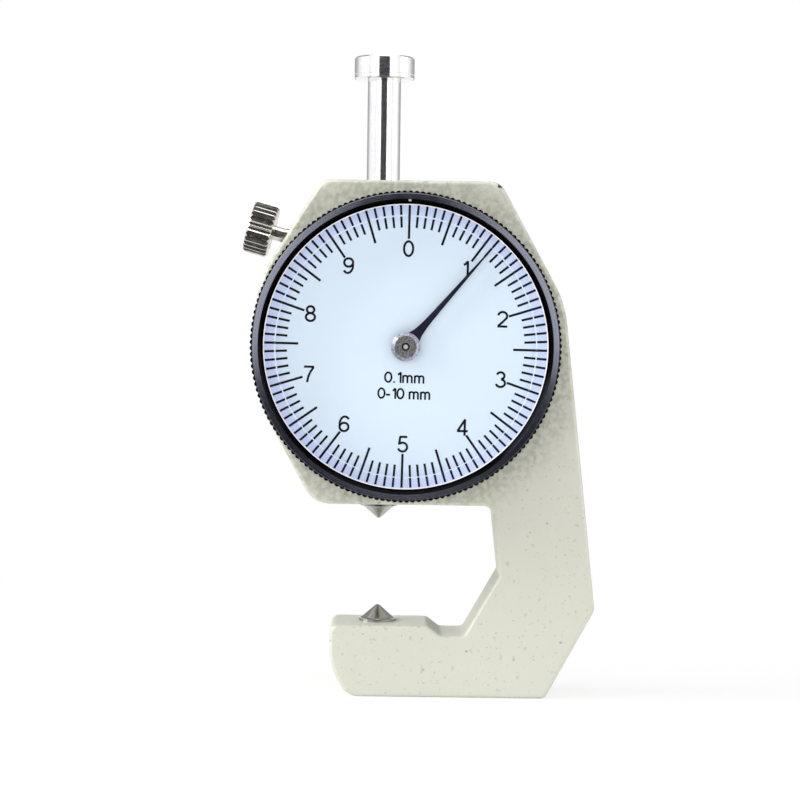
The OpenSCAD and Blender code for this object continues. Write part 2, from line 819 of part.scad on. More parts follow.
module bezel_spring() {
    color(steel) at_dial() rotate([-90, 0, 0]) rotate_extrude(angle = 345)
        translate([wire_at, groove_y]) circle(r = wire_r);
}

// Rack cut into the spindle's right side, in x and z
module rack_cut() {
    tip_x = rack_line + addendum;
    root_x = rack_line - dedendum;
    out_x = spindle_r + 1;
    reach = pinion_r;
    low_z = dial_z - reach;
    high_z = dial_z + travel + reach;
    space = (pitch + backlash) / 2;
    tip_half = space / 2 + addendum * tan(pressure_angle);
    root_half = space / 2 - dedendum * tan(pressure_angle);
    first = -floor(reach / pitch);
    last = floor((travel + reach) / pitch) - 1;
    edge = [for (k = [first:last])
        let (z = dial_z + (k + 0.5) * pitch)
        each [[tip_x, z - tip_half], [root_x, z - root_half],
            [root_x, z + root_half], [tip_x, z + tip_half]]];
    deep(-out_x, out_x)
        polygon(concat([[out_x, low_z], [tip_x, low_z]], edge, [[tip_x, high_z], [out_x, high_z]]));
}

module spindle() {
    stub_r = point_stem_d / 2;
    color(chrome) difference() {
        union() {
            translate([0, 0, spindle_foot_z]) cylinder(r = spindle_r, h = cap_z - spindle_foot_z);
            translate([0, 0, cap_z - past]) cylinder(r = stub_r, h = past + cap_height - cap_top - seat);
        }
        rack_cut();
        translate([0, 0, spindle_foot_z - past]) cylinder(r = stub_r + seat, h = past + stem_hole);
        translate([pin_root_x, 0, pin_z]) rotate([0, -90, 0])
            cylinder(r = pin_r + seat, h = pin_depth + past);
    }
}

module lift_cap() {
    cap_r = cap_d / 2;
    edge = 0.22;
    line_z = cap_z + 0.65;
    line = 0.06;
    hole_r = point_stem_d / 2 + seat;
    color(chrome) turned_z([
        [hole_r, cap_z], [cap_r - edge, cap_z], [cap_r, cap_z + edge],
        [cap_r, line_z - line], [cap_r - line, line_z], [cap_r, line_z + line],
        [cap_r, cap_z + cap_height - edge], [cap_r - edge, cap_z + cap_height],
        [0, cap_z + cap_height], [0, cap_z + cap_height - cap_top], [hole_r, cap_z + cap_height - cap_top]
    ]);
}

module guide_pin() {
    root_x = pin_root_x - seat;
    head_r = pin_r + 0.3;
    head_h = 0.4;
    color(steel) translate([root_x, 0, pin_z]) rotate([0, -90, 0]) {
        cylinder(r = pin_r, h = root_x - pin_end_x);
        translate([0, 0, root_x - pin_end_x]) cylinder(r = head_r, h = head_h);
    }
}

module centre_pinion() {
    rear_y = bridge_front_y - end_play;
    arbor_front_y = dial_back_y + 0.4;
    front_end_y = hub_front_y + 0.1;
    color(steel) {
        at_dial() deep(-pinion_half, pinion_half) rotate(180 + 180 / pinion_teeth)
            polygon(gear_outline(pinion_teeth, 3));
        bar_y(dial_axis, arbor_r, arbor_front_y, 0);
        bar_y(dial_axis, hub_bore_r - seat, front_end_y, 0);
        bar_y(dial_axis, arbor_r, 0, rear_y);
        bar_y(dial_axis, pivot_r, 0, bridge_back_y);
    }
}

module pointer_hub() {
    bevel = 0.42;
    color(chrome) turned_y(dial_axis, [
        [hub_bore_r, hub_front_y], [hub_r - bevel, hub_front_y], [hub_r, hub_front_y + bevel],
        [hub_r, pointer_front_y], [hub_tube_r, pointer_front_y],
        [hub_tube_r, pointer_back_y + hub_tail], [hub_bore_r, pointer_back_y + hub_tail]
    ]);
}

module pointer() {
    eye_r = hub_r - 0.05;
    root_half = 0.46;
    tip_half = 0.08;
    flare = 0.7;
    last = 10;
    function blade_at(i) = hub_tube_r + (pointer_length - hub_tube_r) * pow(i / last, 1.5);
    function blade_half(i) =
        let (u = 1 - (blade_at(i) - hub_tube_r) / (pointer_length - hub_tube_r))
        tip_half + (root_half - tip_half) * u + flare * pow(u, 14);
    blade = concat(
        [for (i = [0:last]) [blade_half(i), blade_at(i)]],
        [for (i = [0:last]) [-blade_half(last - i), blade_at(last - i)]]);
    color(ink) at_dial() rotate([0, pointer_angle, 0]) deep(pointer_front_y, pointer_back_y)
        difference() {
            union() {
                circle(r = eye_r);
                polygon(blade);
            }
            circle(r = hub_tube_r + seat);
        }
}

module takeup_gear() {
    boss_r = 1.3;
    boss_h = 0.6;
    hole_at = 0.56 * takeup_r;
    hole_r = 0.2 * takeup_r;
    color(brass) translate([takeup_place[0], 0, takeup_place[1]]) difference() {
        union() {
            deep(gear_y, gear_y + gear_thick) rotate(180 + takeup_side)
                polygon(gear_outline(takeup_teeth, 2));
            bar_y([0, 0], boss_r, gear_y - boss_h, gear_y + gear_thick / 2);
        }
        bar_y([0, 0], takeup_arbor_r + seat, gear_y - boss_h - past, gear_y + gear_thick + past);
        for (a = [45:90:315]) bar_y(polar(hole_at, a), hole_r, gear_y - past, gear_y + gear_thick + past);
    }
}

module takeup_arbor() {
    shoulder_y = plate_back_y + low_bush_rise + end_play;
    color(steel) {
        bar_y(takeup_place, takeup_arbor_r, shoulder_y, bridge_front_y - end_play);
        bar_y(takeup_place, pivot_r, front_y + bush_rise, bridge_back_y);
    }
}

module hairspring_collet() {
    rim = 0.15;
    color(brass) difference() {
        bar_y(takeup_place, collet_r, hair_y - rim, hair_y + hair_height + rim);
        bar_y(takeup_place, takeup_arbor_r + seat, hair_y - rim - past, hair_y + hair_height + rim + past);
    }
}

// Knurled ring: the dial and crystal go in from behind, up to the front lip
module bezel() {
    edge = 0.3;
    face_out_r = bezel_r - bezel_knurl_depth - glass_play;
    knurl_front_y = bezel_front_y + edge;
    bevel = 0.6;
    bevel_y = lip_y - 0.2;
    slope = bevel / (bevel_y - bezel_front_y);
    snap_r = bezel_bore_r + 0.3;
    snap_back_y = dial_back_y + snap_thick + seat;
    groove = wire_r + wire_play;
    color(black_metal) difference() {
        union() {
            at_dial() deep(knurl_front_y, bezel_back_y)
                polygon(knurl_outline(bezel_r, bezel_knurl_depth, bezel_knurls, bezel_land));
            turned_y(dial_axis, [
                [0, bezel_front_y], [face_out_r - edge / 3, bezel_front_y],
                [face_out_r, knurl_front_y], [face_out_r, lip_y], [0, lip_y]
            ]);
        }
        turned_y(dial_axis, [
            [0, bezel_front_y - past], [window_r + bevel + slope * past, bezel_front_y - past],
            [window_r, bevel_y], [window_r, lip_y],
            [bezel_bore_r, lip_y], [bezel_bore_r, dial_back_y],
            [snap_r, dial_back_y], [snap_r, snap_back_y],
            [bezel_bore_r, snap_back_y], [bezel_bore_r, groove_y - groove],
            [wire_at + groove, groove_y - groove], [wire_at + groove, groove_y + groove],
            [bezel_bore_r, groove_y + groove], [bezel_bore_r, bezel_back_y + past],
            [0, bezel_back_y + past]
        ]);
    }
}

// Clear disc with a raised middle, whose polished edge steps down to a rim that the lip holds
module crystal() {
    rim_r = window_r - glass_play;
    crown_r = rim_r - crystal_ledge;
    crown_y = lip_y - crystal_crown;
    step_h = 0.6 * crystal_crown;
    step_w = 0.8 * step_h;
    rim_y = lip_y - 0.25 * crystal_crown;
    color(clear) turned_y(dial_axis, [
        [0, crown_y], [crown_r, crown_y], [crown_r + step_w, crown_y + step_h], [rim_r, rim_y],
        [rim_r, lip_y + seat], [glass_r, lip_y + seat], [glass_r, crystal_back_y], [0, crystal_back_y]
    ]);
}

module dial_spacer_ring() {
    color(dial_white) turned_y(dial_axis, [
        [window_r, crystal_back_y], [glass_r, crystal_back_y],
        [glass_r, dial_front_y], [window_r, dial_front_y]
    ]);
}

module dial_plate() {
    hole_r = arbor_r + 0.25;
    color(dial_white) turned_y(dial_axis, [
        [hole_r, dial_front_y], [glass_r, dial_front_y], [glass_r, dial_back_y], [hole_r, dial_back_y]
    ]);
}

module dial_snap_ring() {
    ring_w = 0.75;
    ring_in_r = bezel_bore_r - 0.5;
    color(steel) at_dial() rotate([-90, 0, 0]) rotate_extrude(angle = 335)
        translate([ring_in_r, dial_back_y]) square([ring_w, snap_thick]);
}

module lock_pad() {
    color(brass) difference() {
        at_lock() cylinder(r = screw_r, h = pad_out);
        cylinder(r = spindle_r + seat, h = head_top);
    }
}

module lock_screw() {
    knob_r = knob_d / 2;
    edge = 0.25;
    knob_out = knob_in + knob_length;
    color(chrome) at_lock() {
        translate([0, 0, screw_tip]) cylinder(r = screw_r, h = lock_entry + thread_show - screw_tip);
        translate([0, 0, lock_entry]) cylinder(r = neck_r, h = knob_gap + edge);
        intersection() {
            translate([0, 0, knob_in]) linear_extrude(knob_length)
                polygon(knurl_outline(knob_r, knob_knurl_depth, knob_knurls, knob_land));
            turned_z([
                [0, knob_in], [knob_r - edge, knob_in], [knob_r, knob_in + edge],
                [knob_r, knob_out - edge], [knob_r - edge, knob_out], [0, knob_out]
            ]);
        }
    }
}

frame();
bezel_seat();
upper_guide_bush();
lower_guide_bush();
anvil_point();
movement_plate();
movement_plate_screws();
bridge_plate();
bridge_pillars();
bridge_screws();
arbor_bushes();
guide_rail();
guide_rail_screws();
spring_post();
return_spring();
hairspring_stud();
hairspring();
back_cover();
back_cover_screws();
bezel_spring();
spindle();
spindle_point();
lift_cap();
guide_pin();
centre_pinion();
pointer_hub();
pointer();
takeup_gear();
takeup_arbor();
hairspring_collet();
bezel();
crystal();
dial_spacer_ring();
dial_plate();
dial_snap_ring();
lock_pad();
lock_screw();
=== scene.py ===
import math

import bpy
import bmesh
from mathutils import Matrix, Vector


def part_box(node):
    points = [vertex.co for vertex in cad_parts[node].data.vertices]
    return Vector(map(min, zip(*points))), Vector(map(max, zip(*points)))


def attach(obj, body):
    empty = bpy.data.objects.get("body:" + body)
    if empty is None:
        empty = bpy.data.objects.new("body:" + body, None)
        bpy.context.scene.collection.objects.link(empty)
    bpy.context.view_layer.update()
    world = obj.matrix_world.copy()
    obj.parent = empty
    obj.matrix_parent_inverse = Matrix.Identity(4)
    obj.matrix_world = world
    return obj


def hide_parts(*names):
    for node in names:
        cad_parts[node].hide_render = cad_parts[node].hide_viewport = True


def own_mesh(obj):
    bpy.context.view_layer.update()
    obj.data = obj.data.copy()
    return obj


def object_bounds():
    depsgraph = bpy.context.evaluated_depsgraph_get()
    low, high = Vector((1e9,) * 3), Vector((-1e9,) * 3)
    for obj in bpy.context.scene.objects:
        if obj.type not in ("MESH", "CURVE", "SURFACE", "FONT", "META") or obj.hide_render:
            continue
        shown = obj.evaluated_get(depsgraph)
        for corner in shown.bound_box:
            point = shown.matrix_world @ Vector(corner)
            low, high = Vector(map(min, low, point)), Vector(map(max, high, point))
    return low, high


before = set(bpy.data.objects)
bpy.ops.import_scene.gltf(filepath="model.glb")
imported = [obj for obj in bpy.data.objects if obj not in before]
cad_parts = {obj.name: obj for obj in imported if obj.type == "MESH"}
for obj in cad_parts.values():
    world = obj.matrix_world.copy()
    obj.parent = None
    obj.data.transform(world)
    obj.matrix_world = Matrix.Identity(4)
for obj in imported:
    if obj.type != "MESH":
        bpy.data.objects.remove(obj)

cad_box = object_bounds()

# Casting: the C-shaped body, a flat zinc die-casting with softly rounded edges.
# It is stove-enamelled in a cream grey-green with a fine dark fleck. Everything else is let into it
# or screwed to it, and one corner has lost its enamel to a knock.
MM = 0.001
MERGE = 0.0005 * MM
NORMAL_WEIGHT = 80
ENAMEL_LIGHT = (209, 210, 196)
# The duller enamel serves both random clouding and painted shade that deepens towards the top of the head.
ENAMEL_CLOUDED_SHADE = (190, 192, 175)
# Colour of the darker blotches on the front face close round the bezel.
BEZEL_BLOTCH = (150, 151, 125)
FLECK = (96, 98, 84)
CHIP = (44, 46, 50)
CLOUD_SCALE = 420.0
# Heights over which the painted shade on the head comes in.
HEAD_SHADE_FROM, HEAD_SHADE_TO = 20 * MM, 46 * MM
BLOTCH_FROM, BLOTCH_TO = 20 * MM, 25 * MM
FRONT_SKIN, FRONT_DEEP = 0.5 * MM, 2 * MM
DOT_SHAKE = 0.35 * MM
KNOCK_X, KNOCK_DROP = 14.8 * MM, 0.4 * MM


def linear(rgb):
    """A colour given in 0 to 255, as the linear colour that renders to it."""
    parts = [c / 255 for c in rgb]
    return tuple(c / 12.92 if c < 0.04045 else ((c + 0.055) / 1.055) ** 2.4 for c in parts) + (1.0,)


def shader_group(name, inputs, outputs):
    """An empty shader node group with named sockets, and its two end nodes."""
    tree = bpy.data.node_groups.new(name, "ShaderNodeTree")
    for label, kind, value in inputs:
        socket = tree.interface.new_socket(label, in_out="INPUT", socket_type=kind)
        if value is not None:
            socket.default_value = value
    for label, kind in outputs:
        tree.interface.new_socket(label, in_out="OUTPUT", socket_type=kind)
    return tree, tree.nodes.new("NodeGroupInput"), tree.nodes.new("NodeGroupOutput")


def wire(tree, node, **values):
    """Sets a node's inputs by name: a socket is linked, anything else is set as its value."""
    for label, value in values.items():
        numbered = label[0] == "i" and label[1:].isdigit()
        socket = node.inputs[int(label[1:]) if numbered else label]
        if isinstance(value, bpy.types.NodeSocket):
            tree.links.new(value, socket)
        else:
            socket.default_value = value
    return node


def math_node(tree, operation, first, second=0.0, clamp=False):
    """One Math node, and the socket that it puts out."""
    node = tree.nodes.new("ShaderNodeMath")
    node.operation = operation
    node.use_clamp = clamp
    return wire(tree, node, i0=first, i1=second).outputs[0]


def blend_colours(tree, mask, first, second):
    """A colour mix, and the socket that it puts out."""
    node = tree.nodes.new("ShaderNodeMix")
    node.data_type = "RGBA"
    return wire(tree, node, i0=mask, i6=first, i7=second).outputs[2]


def smooth_step(tree, value, low, high, to_low=0.0, to_high=1.0):
    """A smooth ramp of a value, and the socket that it puts out."""
    node = tree.nodes.new("ShaderNodeMapRange")
    node.interpolation_type = "SMOOTHSTEP"
    return wire(tree, node, i0=value, i1=low, i2=high, i3=to_low, i4=to_high).outputs[0]


def noise(tree, vector, scale, detail, dimensions="3D"):
    """A noise texture's value socket."""
    node = tree.nodes.new("ShaderNodeTexNoise")
    node.noise_dimensions = dimensions
    vector_input = "W" if dimensions == "1D" else "Vector"
    wire(tree, node, **{vector_input: vector, "Scale": scale, "Detail": detail})
    return node.outputs["Fac"]


cloud_group, start, end = shader_group(
    "cloudy_patches",
    [("Vector", "NodeSocketVector", None), ("Scale", "NodeSocketFloat", 200.0)],
    [("Mask", "NodeSocketFloat")])
broad = noise(cloud_group, start.outputs["Vector"], start.outputs["Scale"], 4.0)
cloud_group.links.new(smooth_step(cloud_group, broad, 0.36, 0.66), end.inputs["Mask"])

fleck_group, start, end = shader_group(
    "scattered_flecks",
    [("Vector", "NodeSocketVector", None), ("Scale", "NodeSocketFloat", 900.0),
     ("Size", "NodeSocketFloat", 0.2), ("Share", "NodeSocketFloat", 0.4)],
    [("Mask", "NodeSocketFloat")])
cells = fleck_group.nodes.new("ShaderNodeTexVoronoi")
wire(fleck_group, cells, Vector=start.outputs["Vector"], Scale=start.outputs["Scale"])
draw = fleck_group.nodes.new("ShaderNodeSeparateColor")
wire(fleck_group, draw, i0=cells.outputs["Color"])
chosen = math_node(fleck_group, "LESS_THAN", draw.outputs[0], start.outputs["Share"])
reach = math_node(fleck_group, "MULTIPLY", start.outputs["Size"],
                  math_node(fleck_group, "ADD", draw.outputs[1], 0.35))
near = math_node(fleck_group, "DIVIDE", cells.outputs["Distance"], reach)
spot = smooth_step(fleck_group, near, 0.5, 1.0, 1.0, 0.0)
fleck_group.links.new(math_node(fleck_group, "MULTIPLY", spot, chosen), end.inputs["Mask"])


def new_finish(name, colour, roughness, metallic=0.0, **sockets):
    """A material with one Principled shader, its tree, that shader and its Object coordinates."""
    made = bpy.data.materials.new(name)
    made.use_nodes = True
    tree = made.node_tree
    shader = tree.nodes["Principled BSDF"]
    wire(tree, shader, **{"Base Color": linear(colour), "Roughness": roughness, "Metallic": metallic})
    for label, value in sockets.items():
        shader.inputs[label.replace("_", " ")].default_value = value
    place = tree.nodes.new("ShaderNodeTexCoord").outputs["Object"]
    return made, tree, shader, place


def use_group(tree, group, **values):
    """One placed node group, set up by its named inputs."""
    node = tree.nodes.new("ShaderNodeGroup")
    node.node_tree = group
    return wire(tree, node, **values)


def bump(tree, shader, height, strength, distance):
    """A height that feeds the shader's normal."""
    node = tree.nodes.new("ShaderNodeBump")
    wire(tree, node, Height=height, Strength=strength, Distance=distance)
    tree.links.new(node.outputs["Normal"], shader.inputs["Normal"])


def dress(made, *nodes):
    """Puts a finish on CAD nodes."""
    for node in nodes:
        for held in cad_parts[node].material_slots:
            held.material = made


def distance_to(tree, place, point):
    """The distance of the surface from a point."""
    node = tree.nodes.new("ShaderNodeVectorMath")
    node.operation = "DISTANCE"
    return wire(tree, node, i0=place, i1=point).outputs["Value"]


casting_low, casting_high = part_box("frame")
head_corner = Vector((KNOCK_X, casting_low.y, casting_high.z - KNOCK_DROP))
bezel_low, bezel_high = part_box("bezel")
dial_axis = (bezel_low + bezel_high) / 2


def speckle(tree, place, scale, low, high):
    """Small irregular smudges where a fine noise rises past a level."""
    return smooth_step(tree, noise(tree, place, scale, 1.5), low, high)


def enamel_finish(name, chip_radius):
    """The casting's enamel: clouded cream, darker towards the top as painted shade, blotched round the bezel,
    with smudges, flecks, orange peel and a knock at one corner.
    """
    made, tree, shader, place = new_finish(name, ENAMEL_LIGHT, 0.4)
    height = tree.nodes.new("ShaderNodeSeparateXYZ")
    wire(tree, height, i0=place)
    # Painted shade: the clouds darken the enamel more and more towards the top, over the head.
    head_shade = smooth_step(tree, height.outputs["Z"], HEAD_SHADE_FROM, HEAD_SHADE_TO, 0.05, 0.42)
    clouds = use_group(tree, cloud_group, Vector=place, Scale=CLOUD_SCALE).outputs["Mask"]
    clouds_and_head_shade = math_node(tree, "MULTIPLY", clouds, head_shade)
    colour = blend_colours(tree, clouds_and_head_shade, linear(ENAMEL_LIGHT), linear(ENAMEL_CLOUDED_SHADE))
    # Darker blotches on the front face only, in a band close round the bezel.
    by_bezel = smooth_step(tree, distance_to(tree, place, dial_axis), BLOTCH_FROM, BLOTCH_TO, 0.5, 0.0)
    in_front = smooth_step(tree, height.outputs["Y"], casting_low.y + FRONT_SKIN, casting_low.y + FRONT_DEEP,
                           1.0, 0.0)
    by_bezel = math_node(tree, "MULTIPLY", by_bezel, in_front)
    blotches = use_group(tree, cloud_group, Vector=place, Scale=1500.0).outputs["Mask"]
    colour = blend_colours(tree, math_node(tree, "MULTIPLY", blotches, by_bezel), colour, linear(BEZEL_BLOTCH))
    smudges = math_node(tree, "MULTIPLY", speckle(tree, place, 1300.0, 0.64, 0.74), 0.22)
    specks = math_node(tree, "MULTIPLY", speckle(tree, place, 3400.0, 0.69, 0.76), 0.4)
    shaken = tree.nodes.new("ShaderNodeMapping")
    wobble = tree.nodes.new("ShaderNodeTexNoise")
    wire(tree, wobble, Vector=place, Scale=3000.0)
    wire(tree, shaken, Vector=wobble.outputs["Color"], Scale=(DOT_SHAKE, DOT_SHAKE, DOT_SHAKE))
    ragged_place = tree.nodes.new("ShaderNodeVectorMath")
    wire(tree, ragged_place, i0=place, i1=shaken.outputs["Vector"])
    dots = use_group(tree, fleck_group, Vector=ragged_place.outputs["Vector"], Scale=520.0, Size=0.11,
                     Share=0.2)
    dots = math_node(tree, "MULTIPLY", dots.outputs["Mask"], 0.5)
    flecks = math_node(tree, "MAXIMUM", math_node(tree, "MAXIMUM", smudges, specks), dots)
    colour = blend_colours(tree, flecks, colour, linear(FLECK))
    ragged = math_node(tree, "MULTIPLY", noise(tree, place, 2600.0, 2.0), 0.9 * chip_radius)
    knock = math_node(tree, "ADD", distance_to(tree, place, head_corner), ragged)
    bare = smooth_step(tree, knock, chip_radius, 1.15 * chip_radius, 1.0, 0.0)
    colour = blend_colours(tree, bare, colour, linear(CHIP))
    tree.links.new(colour, shader.inputs["Base Color"])
    peel = noise(tree, place, 1500.0, 3.0)
    tree.links.new(smooth_step(tree, peel, 0.2, 0.8, 0.34, 0.5), shader.inputs["Roughness"])
    bump(tree, shader, math_node(tree, "SUBTRACT", peel, flecks), 0.3, 0.03 * MM)
    return made


casting_enamel = enamel_finish("casting_enamel", 0.75 * MM)


def smooth_copy(node, name, sharp_degrees, body, made):
    """A CAD node's copy with its points merged and its curves shaded smooth, standing for the node."""
    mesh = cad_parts[node].data.copy()
    work = bmesh.new()
    work.from_mesh(mesh)
    bmesh.ops.remove_doubles(work, verts=work.verts, dist=MERGE)
    for face in work.faces:
        face.smooth = True
    sharp = math.radians(sharp_degrees)
    for edge in work.edges:
        edge.smooth = len(edge.link_faces) == 2 and edge.calc_face_angle(math.pi) < sharp
    work.to_mesh(mesh)
    work.free()
    if mesh.attributes.get("custom_normal"):
        mesh.attributes.remove(mesh.attributes["custom_normal"])
    mesh.materials.clear()
    mesh.materials.append(made)
    piece = bpy.data.objects.new(name, mesh)
    bpy.context.scene.collection.objects.link(piece)
    level = piece.modifiers.new("flat_faces_stay_flat", "WEIGHTED_NORMAL")
    level.keep_sharp = True
    level.weight = NORMAL_WEIGHT
    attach(piece, body)
    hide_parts(node)
    return piece


smooth_copy("frame", "casting", 50, "frame", casting_enamel)

# Back cover: a flat disc of sheet steel, enamelled like the casting, that closes the movement from behind.
# It lies flush in a recess and is held by three small countersunk slotted screws.
cover_enamel = enamel_finish("cover_enamel", 0.1 * MM)
dress(cover_enamel, "back_cover")

# Steel fixings: screws, posts and springs of the movement, turned from bright steel and left plain.
# Their turning lines and a faint straw tint are all that breaks the metal.
grain_group, start, end = shader_group(
    "worked_grain",
    [("Vector", "NodeSocketVector", None), ("Scale", "NodeSocketFloat", 2000.0)],
    [("Height", "NodeSocketFloat"), ("Roughness shift", "NodeSocketFloat")])
grain = noise(grain_group, start.outputs["Vector"], start.outputs["Scale"], 5.0)
grain_group.links.new(grain, end.inputs["Height"])
grain_group.links.new(smooth_step(grain_group, grain, 0.25, 0.75, -0.06, 0.08), end.inputs["Roughness shift"])


def clouded_colour(tree, shader, place, scale, share, colour, stain):
    """Clouds a shader's colour towards another one, by a share of it at most."""
    mask = use_group(tree, cloud_group, Vector=place, Scale=scale).outputs["Mask"]
    mask = math_node(tree, "MULTIPLY", mask, share)
    tree.links.new(blend_colours(tree, mask, linear(colour), linear(stain)), shader.inputs["Base Color"])


def worked_metal(name, colour, tarnish, roughness, scale, stretch, depth=0.01 * MM):
    """A worked metal: clouded towards its tarnish, with grain drawn out along one axis."""
    made, tree, shader, place = new_finish(name, colour, roughness, 1.0)
    drawn = tree.nodes.new("ShaderNodeMapping")
    wire(tree, drawn, Vector=place, Scale=stretch)
    lines = use_group(tree, grain_group, Vector=drawn.outputs["Vector"], Scale=scale)
    clouded_colour(tree, shader, place, CLOUD_SCALE, 0.45, colour, tarnish)
    rough = math_node(tree, "ADD", lines.outputs["Roughness shift"], roughness, clamp=True)
    tree.links.new(rough, shader.inputs["Roughness"])
    bump(tree, shader, lines.outputs["Height"], 0.15, depth)
    return made


plain_steel = worked_metal("plain_steel", (186, 188, 190), (150, 146, 138), 0.3, 2400.0, (1, 1, 0.2))
dress(plain_steel, "movement_plate_screws", "bridge_screws", "guide_rail_screws", "back_cover_screws",
      "guide_pin", "spring_post", "bezel_spring", "dial_snap_ring", "guide_rail",
      "takeup_arbor", "hairspring_stud")

# Return spring: a close coil of bright steel wire, hooked on a post in the plate and on the guide pin.
# It is in three lengths here: its hooks stay round post and pin, and the coil lies between them.
HOOK = 1.1 * MM
WIRE_CORNERS = 4
coil_low, coil_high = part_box("return_spring")
hook_reach = (coil_high.x - coil_low.x) / 2 + HOOK
coil_from = coil_low.z + hook_reach
coil_to = coil_high.z - hook_reach


def spring_length(name, body, low, high):
    """One length of the return spring between two heights, with its cut ends closed."""
    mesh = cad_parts["return_spring"].data.copy()
    work = bmesh.new()
    work.from_mesh(mesh)
    bmesh.ops.remove_doubles(work, verts=work.verts, dist=MERGE)
    for height, side in ((low, -1), (high, 1)):
        cut = bmesh.ops.bisect_plane(work, geom=work.verts[:] + work.edges[:] + work.faces[:],
                                     plane_co=(0, 0, height), plane_no=(0, 0, side), clear_outer=True)
        rim = [part for part in cut["geom_cut"] if isinstance(part, bmesh.types.BMEdge)]
        if rim:
            bmesh.ops.holes_fill(work, edges=rim)
    for face in work.faces:
        face.smooth = len(face.verts) <= WIRE_CORNERS
    mesh.clear_geometry()
    work.to_mesh(mesh)
    work.free()
    mesh.materials.clear()
    mesh.materials.append(plain_steel)
    piece = bpy.data.objects.new(name, mesh)
    bpy.context.scene.collection.objects.link(piece)
    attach(piece, body)
    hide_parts("return_spring")
    return piece


spring_length("return_spring_foot", "frame", coil_low.z - HOOK, coil_from)
return_coil = spring_length("return_spring_coil", "frame", coil_from, coil_to)
spring_length("return_spring_head", "spindle", coil_to, coil_high.z + HOOK)
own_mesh(return_coil)

# Movement: brass plates, pillars, bushes and the take-up gear, blanked and turned, with fine graining.
# The hairspring is a coil of rolled bronze strip between the gear's collet and a stud.
brass = worked_metal("grained_brass", (214, 184, 118), (168, 136, 78), 0.32, 2600.0, (0.15, 1, 1))
dress(brass, "movement_plate", "bridge_plate", "bridge_pillars", "arbor_bushes", "takeup_gear",
      "hairspring_collet", "lock_pad", "lower_guide_bush")
bronze = worked_metal("bronze_strip", (196, 150, 104), (140, 98, 66), 0.28, 3200.0, (1, 0.2, 1))
dress(bronze, "hairspring")

# Spindle and lifting cap: hard-chromed steel, ground and polished, with the cap pressed on the top.
# The contact points are hardened steel, left as ground; they push into the spindle's foot and into the jaw.
chrome = worked_metal("polished_chrome", (243, 243, 244), (232, 232, 236), 0.1, 1500.0, (1, 1, 6))
dress(chrome, "spindle", "lift_cap", "upper_guide_bush")
ground_steel = worked_metal("ground_steel", (182, 182, 178), (132, 133, 128), 0.14, 2200.0, (1, 1, 8))
dress(ground_steel, "spindle_point", "anvil_point")

# Bezel: a turned ring, black anodised, with straight knurls round its rim and a polished inner bevel.
# Its face falls back a little towards the rim. It turns on a ring let into the casting, held by a wire
# spring, and carries the dial and the crystal.
RUB_SCALE = 700.0
lathe_group, start, end = shader_group(
    "turning_lines",
    [("Vector", "NodeSocketVector", None), ("Lines per metre", "NodeSocketFloat", 9000.0)],
    [("Height", "NodeSocketFloat"), ("Radius", "NodeSocketFloat")])
across = lathe_group.nodes.new("ShaderNodeSeparateXYZ")
wire(lathe_group, across, i0=start.outputs["Vector"])
flat = lathe_group.nodes.new("ShaderNodeCombineXYZ")
wire(lathe_group, flat, i0=across.outputs["X"], i1=across.outputs["Z"])
span = lathe_group.nodes.new("ShaderNodeVectorMath")
span.operation = "LENGTH"
wire(lathe_group, span, i0=flat.outputs[0])
radius = span.outputs["Value"]
lines = noise(lathe_group, radius, start.outputs["Lines per metre"], 3.0, "1D")
lathe_group.links.new(lines, end.inputs["Height"])
lathe_group.links.new(radius, end.inputs["Radius"])


def turning_lines(tree, place, lines=9000.0):
    """The fine rings that a lathe leaves about the dial's axis: their height and their radius."""
    moved = wire(tree, tree.nodes.new("ShaderNodeMapping"), Vector=place, Location=-dial_axis)
    settings = {"Vector": moved.outputs["Vector"], "Lines per metre": lines}
    return use_group(tree, lathe_group, **settings).outputs


BEZEL_SATIN = (120, 122, 134)
BEZEL_BLACK = (9, 10, 14)
bezel_radius = (bezel_high.x - bezel_low.x) / 2
BEZEL_WALL = 1.1 * MM
BEZEL_LIP = 0.5 * MM
BEVEL = 0.6 * MM
KNURL = 0.3 * MM
FACE_FALL = math.radians(15)
FACE_LEVEL = 0.05 * MM
FACE_EDGE = 0.03 * MM
RIM_EDGE = 0.1 * MM
GROOVE = 0.012 * MM
SEAT_ROUGHNESS = 0.3
window_radius = bezel_radius - BEZEL_WALL - BEZEL_LIP
black_anodised, tree, shader, place = new_finish("black_anodised", BEZEL_SATIN, 0.17, 1.0)
rings = turning_lines(tree, place, 16000.0)
inner_edge = window_radius + BEVEL
outer_edge = bezel_radius - KNURL
on_face = math_node(
    tree, "MULTIPLY",
    smooth_step(tree, rings["Radius"], inner_edge - FACE_EDGE, inner_edge + FACE_EDGE),
    smooth_step(tree, rings["Radius"], outer_edge, outer_edge + RIM_EDGE, 1.0, 0.15))
colour = blend_colours(tree, on_face, linear(BEZEL_BLACK), linear(BEZEL_SATIN))
tree.links.new(colour, shader.inputs["Base Color"])
rub = use_group(tree, cloud_group, Vector=place, Scale=RUB_SCALE).outputs["Mask"]
rub = math_node(tree, "MULTIPLY", rub, 0.06)
rough = math_node(tree, "ADD", smooth_step(tree, on_face, 0.0, 1.0, 0.16, 0.17), rub)
tree.links.new(rough, shader.inputs["Roughness"])
bump(tree, shader, math_node(tree, "MULTIPLY", rings["Height"], on_face), 1.0, GROOVE)
bezel_ring = smooth_copy("bezel", "bezel_ring", 32, "bezel", black_anodised)
for point in bezel_ring.data.vertices:
    past_bevel = math.hypot(point.co.x - dial_axis.x, point.co.z - dial_axis.z) - inner_edge
    if point.co.y < bezel_low.y + FACE_LEVEL and past_bevel > FACE_LEVEL:
        point.co.y += past_bevel * math.tan(FACE_FALL)
